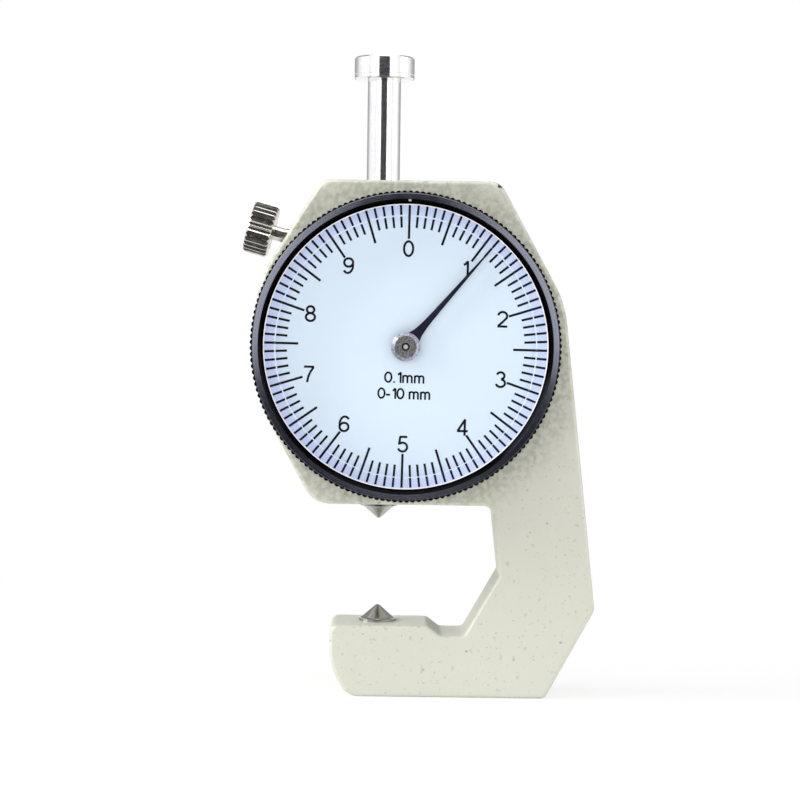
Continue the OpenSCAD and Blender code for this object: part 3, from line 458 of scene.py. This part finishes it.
turned_aluminium, tree, shader, place = new_finish("turned_aluminium", (200, 200, 203), SEAT_ROUGHNESS, 1.0)
rub = use_group(tree, cloud_group, Vector=place, Scale=RUB_SCALE).outputs["Mask"]
rough = smooth_step(tree, rub, 0.0, 1.0, SEAT_ROUGHNESS, SEAT_ROUGHNESS + 0.1)
tree.links.new(rough, shader.inputs["Roughness"])
bump(tree, shader, turning_lines(tree, place, 8000.0)["Height"], 0.4, 0.02 * MM)
dress(turned_aluminium, "bezel_seat")

# Dial: an aluminium disc, sprayed satin white, with a colder tone painted towards its rim for the crystal
# bevel's reflection.
# It sits in the bezel behind the crystal, a white ring between them, and turns with it.
DIAL_MIDDLE = (227, 242, 255)
DIAL_RIM_REFLECTION = (218, 228, 254)
REFLECTION_FROM, REFLECTION_TO = 0.84, 0.9
dial_low, dial_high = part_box("dial_plate")
dial_radius = (dial_high.x - dial_low.x) / 2
dial_white, tree, shader, place = new_finish("dial_white", DIAL_MIDDLE, 0.5)
radius = turning_lines(tree, place)["Radius"]
# Painted reflection: the dial turns colder towards its rim, under the crystal's bevel.
towards_rim = smooth_step(tree, radius, REFLECTION_FROM * dial_radius, REFLECTION_TO * dial_radius)
colour = blend_colours(tree, towards_rim, linear(DIAL_MIDDLE), linear(DIAL_RIM_REFLECTION))
dust = use_group(tree, fleck_group, Vector=place, Scale=160.0, Size=0.025, Share=0.2).outputs["Mask"]
colour = blend_colours(tree, math_node(tree, "MULTIPLY", dust, 0.6), colour, linear(FLECK))
tree.links.new(colour, shader.inputs["Base Color"])
bump(tree, shader, noise(tree, place, 3000.0, 2.0), 0.08, 0.01 * MM)
dress(dial_white, "dial_plate", "dial_spacer_ring")

# Printing on the dial: black ink, one mark for each tenth of a millimetre, longer ones at the fives.
# The figures are upright, and the scale's unit and range are printed below the centre.
INK = (8, 8, 16)
THIN_INK = (46, 46, 60)
PRINT_THICK = 0.02 * MM
DIAL_TURN = math.radians(0.9)
DIVISIONS = 100
MARK_STEP = 5
printing_ink, tree, shader, place = new_finish("printing_ink", INK, 0.55, Specular_IOR_Level=0.2)
clouded_colour(tree, shader, place, 1800.0, 0.15, INK, THIN_INK)

marks = bpy.data.node_groups.new("scale_marks", "GeometryNodeTree")
for label, kind in (("Divisions", "NodeSocketInt"), ("Every", "NodeSocketInt"),
                    ("On the step", "NodeSocketBool"),
                    ("Inner radius", "NodeSocketFloat"), ("Outer radius", "NodeSocketFloat"),
                    ("Width", "NodeSocketFloat"), ("Thickness", "NodeSocketFloat"),
                    ("Turn", "NodeSocketFloat"), ("Centre", "NodeSocketVector"),
                    ("Ink", "NodeSocketMaterial")):
    marks.interface.new_socket(label, in_out="INPUT", socket_type=kind)
marks.interface.new_socket("Geometry", in_out="OUTPUT", socket_type="NodeSocketGeometry")
given = marks.nodes.new("NodeGroupInput").outputs
index = marks.nodes.new("GeometryNodeInputIndex").outputs[0]
share = math_node(marks, "DIVIDE", index, given["Divisions"])
angle = math_node(marks, "ADD", math_node(marks, "MULTIPLY", share, math.tau), given["Turn"])
both_ends = math_node(marks, "ADD", given["Inner radius"], given["Outer radius"])
middle = math_node(marks, "DIVIDE", both_ends, 2.0)
spot = marks.nodes.new("ShaderNodeCombineXYZ")
wire(marks, spot, i0=math_node(marks, "MULTIPLY", math_node(marks, "SINE", angle), middle),
     i2=math_node(marks, "MULTIPLY", math_node(marks, "COSINE", angle), middle))
shifted = marks.nodes.new("ShaderNodeVectorMath")
wire(marks, shifted, i0=spot.outputs[0], i1=given["Centre"])
points = marks.nodes.new("GeometryNodePoints")
wire(marks, points, Count=given["Divisions"], Position=shifted.outputs[0])
tilt = wire(marks, marks.nodes.new("ShaderNodeCombineXYZ"), i1=angle)
bar_size = marks.nodes.new("ShaderNodeCombineXYZ")
wire(marks, bar_size, i0=given["Width"], i1=given["Thickness"],
     i2=math_node(marks, "SUBTRACT", given["Outer radius"], given["Inner radius"]))
bar = wire(marks, marks.nodes.new("GeometryNodeMeshCube"), Size=bar_size.outputs[0])
left_over = math_node(marks, "MODULO", index, given["Every"])
on_step = math_node(marks, "LESS_THAN", left_over, 0.5)
same = marks.nodes.new("FunctionNodeBooleanMath")
same.operation = "XNOR"
wire(marks, same, i0=on_step, i1=given["On the step"])
copies = marks.nodes.new("GeometryNodeInstanceOnPoints")
wire(marks, copies, Points=points.outputs[0], Selection=same.outputs[0], Instance=bar.outputs["Mesh"],
     Rotation=tilt.outputs[0])
solid = wire(marks, marks.nodes.new("GeometryNodeRealizeInstances"), i0=copies.outputs[0])
inked = marks.nodes.new("GeometryNodeSetMaterial")
wire(marks, inked, Geometry=solid.outputs[0], Material=given["Ink"])
marks.links.new(inked.outputs[0], marks.nodes.new("NodeGroupOutput").inputs[0])


def grown(name, tree, **values):
    """An object made by a Geometry Nodes tree with these inputs, as a plain mesh."""
    seed = bpy.data.objects.new(name + "_seed", bpy.data.meshes.new(name + "_seed"))
    bpy.context.scene.collection.objects.link(seed)
    growth = seed.modifiers.new(name, "NODES")
    growth.node_group = tree
    sockets = {item.name: item.identifier for item in tree.interface.items_tree if item.in_out == "INPUT"}
    for label, value in values.items():
        growth[sockets[label.replace("_", " ")]] = value
    graph = bpy.context.evaluated_depsgraph_get()
    mesh = bpy.data.meshes.new_from_object(seed.evaluated_get(graph))
    seed.modifiers.remove(growth)
    bpy.data.objects.remove(seed)
    mesh.name = name
    piece = bpy.data.objects.new(name, mesh)
    bpy.context.scene.collection.objects.link(piece)
    return piece


print_centre = Vector((dial_axis.x, dial_low.y - PRINT_THICK / 2, dial_axis.z))
MARK_EDGE = 17.45 * MM
for name, inner, width, on_fives in (("minor_marks", 14.7 * MM, 0.28 * MM, False),
                                     ("five_marks", 13.3 * MM, 0.29 * MM, True)):
    piece = grown(name, marks, Divisions=DIVISIONS, Every=MARK_STEP, On_the_step=on_fives, Inner_radius=inner,
                  Outer_radius=MARK_EDGE, Width=width, Thickness=PRINT_THICK, Turn=DIAL_TURN,
                  Centre=print_centre, Ink=printing_ink)
    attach(piece, "bezel")


def arc(x, z, wide, high, start, end, steps=14):
    """Points of an elliptic arc about (x, z), from one angle to another in degrees."""
    turns = [math.radians(start + (end - start) * i / steps) for i in range(steps + 1)]
    return [(x + wide * math.cos(t), z + high * math.sin(t)) for t in turns]


def drawn_figure(sign):
    """A sign's width and the middle lines of its strokes, in a plain grotesque one unit high."""
    if sign == "0":
        return 0.6, [arc(0.3, 0.5, 0.24, 0.44, 0, 360, 28)]
    if sign == "1":
        return 0.42, [[(0.33, 0), (0.33, 0.99)], [(0.33, 0.95)] + arc(0.08, 1.0, 0.22, 0.24, -20, -80, 6)]
    if sign == "2":
        return 0.6, [arc(0.3, 0.69, 0.235, 0.25, 172, -38) + [(0.08, 0.09)], [(0.03, 0.06), (0.56, 0.06)]]
    if sign == "3":
        return 0.6, [arc(0.29, 0.735, 0.2, 0.21, 165, -82), arc(0.29, 0.285, 0.24, 0.23, 84, -168)]
    if sign == "4":
        return 0.62, [[(0.43, 0), (0.43, 1.0)], [(0.43, 0.95), (0.05, 0.29)], [(0.01, 0.27), (0.6, 0.27)]]
    if sign == "5":
        return 0.6, [[(0.53, 0.94), (0.14, 0.94)], [(0.16, 0.96), (0.1, 0.46)],
                     arc(0.29, 0.32, 0.245, 0.27, 138, -162)]
    if sign == "6":
        return 0.6, [arc(0.3, 0.31, 0.235, 0.25, 0, 360, 26), arc(0.34, 0.48, 0.275, 0.46, 192, 42)]
    if sign == "7":
        return 0.58, [[(0.03, 0.94), (0.55, 0.94)], [(0.53, 0.92), (0.38, 0.66), (0.27, 0.36), (0.21, 0)]]
    if sign == "8":
        return 0.6, [arc(0.3, 0.735, 0.195, 0.205, 0, 360, 24), arc(0.3, 0.29, 0.24, 0.235, 0, 360, 26)]
    if sign == "9":
        width, strokes = drawn_figure("6")
        return width, [[(width - x, 1 - z) for x, z in stroke] for stroke in strokes]
    if sign == ".":
        return 0.28, [[(0.14, 0), (0.14, 0.13)]]
    if sign == "-":
        return 0.42, [[(0.04, 0.37), (0.36, 0.37)]]
    if sign == "m":
        arches = [arc(x, 0.5, 0.16, 0.18, 180, 0, 10) + [(x + 0.16, 0)] for x in (0.25, 0.57)]
        return 0.86, [[(0.09, 0), (0.09, 0.72)]] + arches
    return 0.3, []


def ribbon(work, line, half, place):
    """A flat stroke of even width along a line in x and z, with a front, a back and closed sides."""
    points = [Vector(point) for point in line]
    closed = (points[0] - points[-1]).length < half / 10
    if closed:
        points.pop()
    count = len(points)
    rings = []
    for i, point in enumerate(points):
        before = points[i - 1] if closed or i > 0 else point
        after = points[(i + 1) % count] if closed or i < count - 1 else point
        into = (point - before).normalized() if before != point else (after - point).normalized()
        out = (after - point).normalized() if after != point else into
        across = Vector((-(into + out).y, (into + out).x)).normalized()
        reach = half / max(0.5, abs(across.dot(Vector((-into.y, into.x)))))
        sides = (point + across * reach, point - across * reach)
        rings.append([work.verts.new(place @ Vector((side.x, y, side.y)))
                      for y in (-PRINT_THICK / 2, PRINT_THICK / 2) for side in sides])
    for i in range(count if closed else count - 1):
        here, there = rings[i], rings[(i + 1) % count]
        for j, k in ((0, 1), (1, 3), (3, 2), (2, 0)):
            work.faces.new((here[j], there[j], there[k], here[k]))
    if not closed:
        for end in (rings[0], rings[-1]):
            work.faces.new((end[0], end[1], end[3], end[2]))


def finished_piece(name, work, made, body):
    """The piece made from a bmesh: faces turned outwards, riding on a body."""
    bmesh.ops.recalc_face_normals(work, faces=work.faces)
    mesh = bpy.data.meshes.new(name)
    work.to_mesh(mesh)
    work.free()
    mesh.materials.append(made)
    piece = bpy.data.objects.new(name, mesh)
    bpy.context.scene.collection.objects.link(piece)
    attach(piece, body)
    return piece


def printed(name, entries, stroke):
    """Print on the dial: entries of (signs, x, z, width, height) about its centre, upright at the zero."""
    work = bmesh.new()
    upright = Matrix.Translation(print_centre) @ Matrix.Rotation(DIAL_TURN, 4, "Y")
    for signs, x, z, width, height in entries:
        drawn = [drawn_figure(sign) for sign in signs]
        across = width / sum(size for size, strokes in drawn)
        start = x - width / 2
        for size, strokes in drawn:
            for line in strokes:
                fitted = [(start + px * across, z + (pz - 0.5) * height) for px, pz in line]
                ribbon(work, fitted, stroke / 2, upright)
            start += size * across
    return finished_piece(name, work, printing_ink, "bezel")


FIGURES = 10
FIGURE_SPAN = 12.5 * MM
FIGURE_RISE = 12.1 * MM
FIGURE_HIGH = 2.05 * MM
FIGURE_WIDE = 1.4 * MM
ONE_WIDE = 1.0 * MM
ONE_SHIFT = -0.25 * MM
FIGURE_STROKE = 0.28 * MM
WORD_STROKE = 0.23 * MM
WORD_HIGH = 1.35 * MM
UNIT_DOWN, UNIT_WIDE = 3.84 * MM, 5.1 * MM
RANGE_DOWN, RANGE_WIDE = 5.84 * MM, 6.65 * MM
figures = []
for figure in range(FIGURES):
    turn = math.tau * figure / FIGURES
    wide, shift = (ONE_WIDE, ONE_SHIFT) if figure == 1 else (FIGURE_WIDE, 0)
    figures.append((str(figure), FIGURE_SPAN * math.sin(turn) + shift, FIGURE_RISE * math.cos(turn), wide,
                    FIGURE_HIGH))
printed("dial_figures", figures, FIGURE_STROKE)
printed("scale_words", [("0.1mm", 0, -UNIT_DOWN, UNIT_WIDE, WORD_HIGH),
                        ("0-10 mm", 0, -RANGE_DOWN, RANGE_WIDE, WORD_HIGH)], WORD_STROKE)

# Pointer and hub: a blade of thin steel sheet in blue-black lacquer, riveted on a turned nickel-plated hub.
# The hub is pushed on the pinion's arbor, whose dark steel end shows in its middle with a highlight painted
# on it as a bright dot.
LACQUER = (8, 13, 36)
WORN_LACQUER = (38, 42, 68)
pointer_lacquer, tree, shader, place = new_finish("pointer_lacquer", LACQUER, 0.4, Specular_IOR_Level=0.3)
clouded_colour(tree, shader, place, 1300.0, 0.25, LACQUER, WORN_LACQUER)
dress(pointer_lacquer, "pointer")
HUB_BRIGHT = (222, 218, 216)
HUB_DIM = (160, 156, 158)
hub_nickel, tree, shader, place = new_finish("hub_nickel", HUB_BRIGHT, 0.3, 1.0)
mottle = noise(tree, place, 4500.0, 2.0)
dim = smooth_step(tree, mottle, 0.42, 0.6)
tree.links.new(blend_colours(tree, dim, linear(HUB_BRIGHT), linear(HUB_DIM)), shader.inputs["Base Color"])
bump(tree, shader, mottle, 0.3, 0.03 * MM)
dress(hub_nickel, "pointer_hub")
# The bright dot in the middle of the arbor's end is a painted highlight.
HIGHLIGHT_DOT = 0.22 * MM
HIGHLIGHT_FADE = 0.34 * MM
ARBOR_HIGHLIGHT = (244, 243, 242)
ARBOR_DARK = (52, 51, 58)
arbor_steel, tree, shader, place = new_finish("arbor_steel", ARBOR_DARK, 0.45, 1.0)
rings = turning_lines(tree, place)
# Painted highlight: bright at the arbor's middle, dark steel beyond.
off_highlight = smooth_step(tree, rings["Radius"], HIGHLIGHT_DOT, HIGHLIGHT_FADE)
colour = blend_colours(tree, off_highlight, linear(ARBOR_HIGHLIGHT), linear(ARBOR_DARK))
tree.links.new(colour, shader.inputs["Base Color"])
bump(tree, shader, rings["Height"], 0.3, 0.01 * MM)
dress(arbor_steel, "centre_pinion")

# Crystal: a disc of clear acrylic with a polished bevel round it, pressed into the bezel from behind.
# It shows the dial through its flat front and bends the marks under its bevel.
ACRYLIC = (252, 253, 255)
ACRYLIC_IOR = 1.49


def mixed_surface(tree, mask, first, second):
    """Puts out two shaders, mixed by a mask, as the material's surface."""
    mix = tree.nodes.new("ShaderNodeMixShader")
    wire(tree, mix, i0=mask, i1=first.outputs[0], i2=second.outputs[0])
    tree.links.new(mix.outputs[0], tree.nodes["Material Output"].inputs["Surface"])


crystal_clear, tree, shader, place = new_finish(
    "crystal_clear", ACRYLIC, 0.02, IOR=ACRYLIC_IOR, Transmission_Weight=1.0)
path = tree.nodes.new("ShaderNodeLightPath").outputs
passing = math_node(tree, "MAXIMUM", path["Is Shadow Ray"], path["Is Diffuse Ray"])
mixed_surface(tree, passing, shader, tree.nodes.new("ShaderNodeBsdfTransparent"))
dress(crystal_clear, "crystal")

# Crystal's edge glint: a fine white ring that fills the step between the crystal's rim and the bezel, a
# painted highlight.
# It is white to show the bright hairline that the crystal's edge makes all round the window.
EDGE_GLINT = (250, 246, 240)
EDGE_GLINT_DULL = (214, 212, 214)
crystal_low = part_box("crystal")[0]
CROWN = 0.45 * MM
# The white of this ring is a painted highlight for the glint of the crystal's edge.
edge_glint_white, tree, shader, place = new_finish("edge_glint_white", EDGE_GLINT, 0.35)
clouded_colour(tree, shader, place, 900.0, 0.25, EDGE_GLINT, EDGE_GLINT_DULL)
bump(tree, shader, noise(tree, place, 4000.0, 2.0), 0.2, 0.01 * MM)


def turned_ring(name, profile, made, body, segments=192):
    """A ring about the dial's axis from a closed profile of (radius, y)."""
    work = bmesh.new()
    rings = []
    for i in range(segments):
        turn = math.tau * i / segments
        side, rise = math.sin(turn), math.cos(turn)
        rings.append([work.verts.new((dial_axis.x + radius * side, y, dial_axis.z + radius * rise))
                      for radius, y in profile])
    for i in range(segments):
        here, there = rings[i], rings[(i + 1) % segments]
        for j in range(len(profile)):
            k = (j + 1) % len(profile)
            work.faces.new((here[j], there[j], there[k], here[k]))
    for face in work.faces:
        face.smooth = True
    return finished_piece(name, work, made, body)


glint_back = crystal_low.y + CROWN
GLINT_WIDE = 0.13 * MM
GLINT_RISE = 0.2 * MM
turned_ring("crystal_edge_glint", [(window_radius - GLINT_WIDE, glint_back), (window_radius, glint_back),
                             (window_radius, glint_back - GLINT_RISE),
                             (window_radius - 0.7 * GLINT_WIDE, glint_back - 0.85 * GLINT_RISE)],
            edge_glint_white, "bezel")

# Zero mark: a small drilled dot on the bezel's inner bevel above the dial's zero, filled with pale paint.
# It shows where the zero lies when the bezel is turned.
DOT_RING = 17.92 * MM
DOT_RADIUS = 0.2 * MM
DOT_THICK = 0.03 * MM
DOT_SIDES = 20
BEVEL_DEEP = 0.65 * MM
dot_paint, tree, shader, place = new_finish("dot_paint", (158, 160, 164), 0.45)
bump(tree, shader, noise(tree, place, 5000.0, 2.0), 0.3, 0.01 * MM)
along = Vector((0, -BEVEL_DEEP, BEVEL)).normalized()
outward = Vector((0, -along.z, along.y))
dot_middle = Vector((0, bezel_low.y + BEVEL_DEEP * (window_radius + BEVEL - DOT_RING) / BEVEL, DOT_RING))
at_zero = Matrix.Translation((dial_axis.x, 0, dial_axis.z)) @ Matrix.Rotation(DIAL_TURN, 4, "Y")
work = bmesh.new()
turns = [math.tau * i / DOT_SIDES for i in range(DOT_SIDES)]
circle = [DOT_RADIUS * (Vector((math.cos(t), 0, 0)) + along * math.sin(t)) for t in turns]
rims = []
for lift in (-DOT_THICK / 2, DOT_THICK / 2):
    rims.append([work.verts.new(at_zero @ (dot_middle + outward * lift + spoke)) for spoke in circle])
    work.faces.new(rims[-1])
for i in range(DOT_SIDES):
    work.faces.new((rims[0][i - 1], rims[0][i], rims[1][i], rims[1][i - 1]))
finished_piece("zero_mark", work, dot_paint, "bezel")

# Lock screw: a nickel-plated thumb screw with a straight-knurled head, in the head's slanted side.
# It pushes a brass pad against the spindle and holds the reading.
knob_nickel = worked_metal("knob_nickel", (214, 211, 203), (160, 156, 146), 0.16, 1200.0, (1, 1, 1),
                           0.002 * MM)
dress(knob_nickel, "lock_screw")

# Studio: a pale floor, a white surround, soft boxes in front, at both sides and above, and dark cards.
# The card behind the lens shows in polished metal as a dark band; those behind the gauge, which thin out
# sideways, shade its edges.
FLOOR_HALF = 1.6
SHADOW_NEAR = 0.03
SHADOW_FAR = 0.12
SHADOW_GLOW = 0.8
SURROUND = 0.23


def background_rays(tree):
    """1 for the rays that see the background: the lens's, and those off metal or through glass."""
    path = tree.nodes.new("ShaderNodeLightPath").outputs
    return math_node(tree, "MAXIMUM", path["Is Camera Ray"],
                     math_node(tree, "MAXIMUM", path["Is Glossy Ray"], path["Is Transmission Ray"]))


floor_mesh = bpy.data.meshes.new("floor")
corners = [(x * FLOOR_HALF, y * FLOOR_HALF, 0) for x, y in ((-1, -1), (1, -1), (1, 1), (-1, 1))]
floor_mesh.from_pydata(corners, [], [(0, 1, 2, 3)])
floor = bpy.data.objects.new("floor", floor_mesh)
bpy.context.scene.collection.objects.link(floor)
floor_white, tree, shader, place = new_finish("floor_white", (250, 250, 250), 0.9)
glow = wire(tree, tree.nodes.new("ShaderNodeEmission"), Strength=1.0)
away = smooth_step(tree, distance_to(tree, place, (0, 0, 0)), SHADOW_NEAR, SHADOW_FAR, SHADOW_GLOW, 1.0)
mixed_surface(tree, math_node(tree, "MULTIPLY", background_rays(tree), away), shader, glow)
floor_mesh.materials.append(floor_white)

CARD_HALF = 0.19
CARD_HIGH = 1.2
CARD_FRONT = -0.5
CARD_NEAR = -0.04
CARD_BACK = 0.5
CARD_LIFT = 0.001
GAUZE_FROM = 0.05
GAUZE_TO = 1.5
GAUZE_CLEAR = 0.32
SOLID_CARDS = 2


def upright_card(left, right, y):
    """The corners of a card that stands on the floor."""
    return [(left, y, CARD_LIFT), (right, y, CARD_LIFT), (right, y, CARD_HIGH), (left, y, CARD_HIGH)]


cards = [upright_card(-CARD_HALF, CARD_HALF, CARD_FRONT),
         [(-CARD_HALF, CARD_FRONT, CARD_LIFT), (CARD_HALF, CARD_FRONT, CARD_LIFT),
          (CARD_HALF, CARD_NEAR, CARD_LIFT), (-CARD_HALF, CARD_NEAR, CARD_LIFT)],
         upright_card(-GAUZE_FROM, -GAUZE_TO, CARD_BACK),
         upright_card(GAUZE_FROM, GAUZE_TO, CARD_BACK)]
card_mesh = bpy.data.meshes.new("dark_cards")
card_mesh.from_pydata([corner for card in cards for corner in card], [],
                      [tuple(range(4 * i, 4 * i + 4)) for i in range(len(cards))])
dark_cards = bpy.data.objects.new("dark_cards", card_mesh)
bpy.context.scene.collection.objects.link(dark_cards)
card_grey, tree, shader, place = new_finish("card_grey", (34, 34, 38), 1.0)
card_mesh.materials.append(card_grey)
card_gauze, tree, shader, place = new_finish("card_gauze", (60, 60, 64), 1.0)
across = tree.nodes.new("ShaderNodeSeparateXYZ")
wire(tree, across, i0=place)
sideways = math_node(tree, "ABSOLUTE", across.outputs["X"])
thin = smooth_step(tree, sideways, GAUZE_FROM, GAUZE_TO, GAUZE_CLEAR, 1.0)
mixed_surface(tree, thin, shader, tree.nodes.new("ShaderNodeBsdfTransparent"))
card_mesh.materials.append(card_gauze)
for face in list(card_mesh.polygons)[SOLID_CARDS:]:
    face.material_index = 1
dark_cards.visible_camera = False
dark_cards.visible_diffuse = False
dark_cards.visible_shadow = False

world = bpy.data.worlds.new("white_surround")
bpy.context.scene.world = world
world.use_nodes = True
tree = world.node_tree
level = smooth_step(tree, background_rays(tree), 0.0, 1.0, SURROUND, 1.0)
wire(tree, tree.nodes["Background"], Color=(1, 1, 1, 1), Strength=level)


def soft_box(name, place, aim, width, height, power):
    """A large area lamp that faces a point."""
    lamp = bpy.data.lights.new(name, "AREA")
    lamp.shape = "RECTANGLE"
    lamp.size = width
    lamp.size_y = height
    lamp.energy = power
    held = bpy.data.objects.new(name, lamp)
    bpy.context.scene.collection.objects.link(held)
    held.location = place
    held.rotation_euler = (Vector(aim) - Vector(place)).to_track_quat("-Z", "Y").to_euler()


gauge_middle = (cad_box[0] + cad_box[1]) / 2
soft_box("front_box", (0.0, -0.8, 0.24), gauge_middle, 0.5, 0.35, 1.2)
soft_box("left_box", (-0.42, -0.6, 0.3), gauge_middle, 0.4, 0.7, 0.65)
soft_box("right_box", (0.42, -0.6, 0.26), gauge_middle, 0.4, 0.7, 0.65)
soft_box("left_fill", (-0.7, -0.12, 0.42), gauge_middle, 0.4, 0.5, 5.6)
soft_box("right_fill", (0.75, -0.1, 0.25), gauge_middle, 0.4, 0.5, 1.4)
soft_box("top_box", (0.0, -0.1, 0.7), gauge_middle, 0.8, 0.5, 2.6)

bpy.context.scene.view_settings.view_transform = "Standard"

# Lens: a long lens at the photograph's viewing angle, looking down on the gauge by about three degrees.
# The slight roll is the photograph's own.
LENS_PLACE = Vector((2.27, -262, 49.7)) * MM
LENS_AIM = Vector((2.53, 0, 37.45)) * MM
LENS_ROLL = math.radians(0.8)
LENS_LENGTH = 92.3
SENSOR_WIDTH = 36
CLIP_START = 0.01
lens = bpy.data.cameras.new("lens")
lens.lens = LENS_LENGTH
lens.sensor_width = SENSOR_WIDTH
lens.clip_start = CLIP_START
camera = bpy.data.objects.new("lens", lens)
bpy.context.scene.collection.objects.link(camera)
turn = (LENS_AIM - LENS_PLACE).to_track_quat("-Z", "Y").to_matrix().to_4x4()
camera.matrix_world = Matrix.Translation(LENS_PLACE) @ turn @ Matrix.Rotation(LENS_ROLL, 4, "Z")
bpy.context.scene.camera = camera
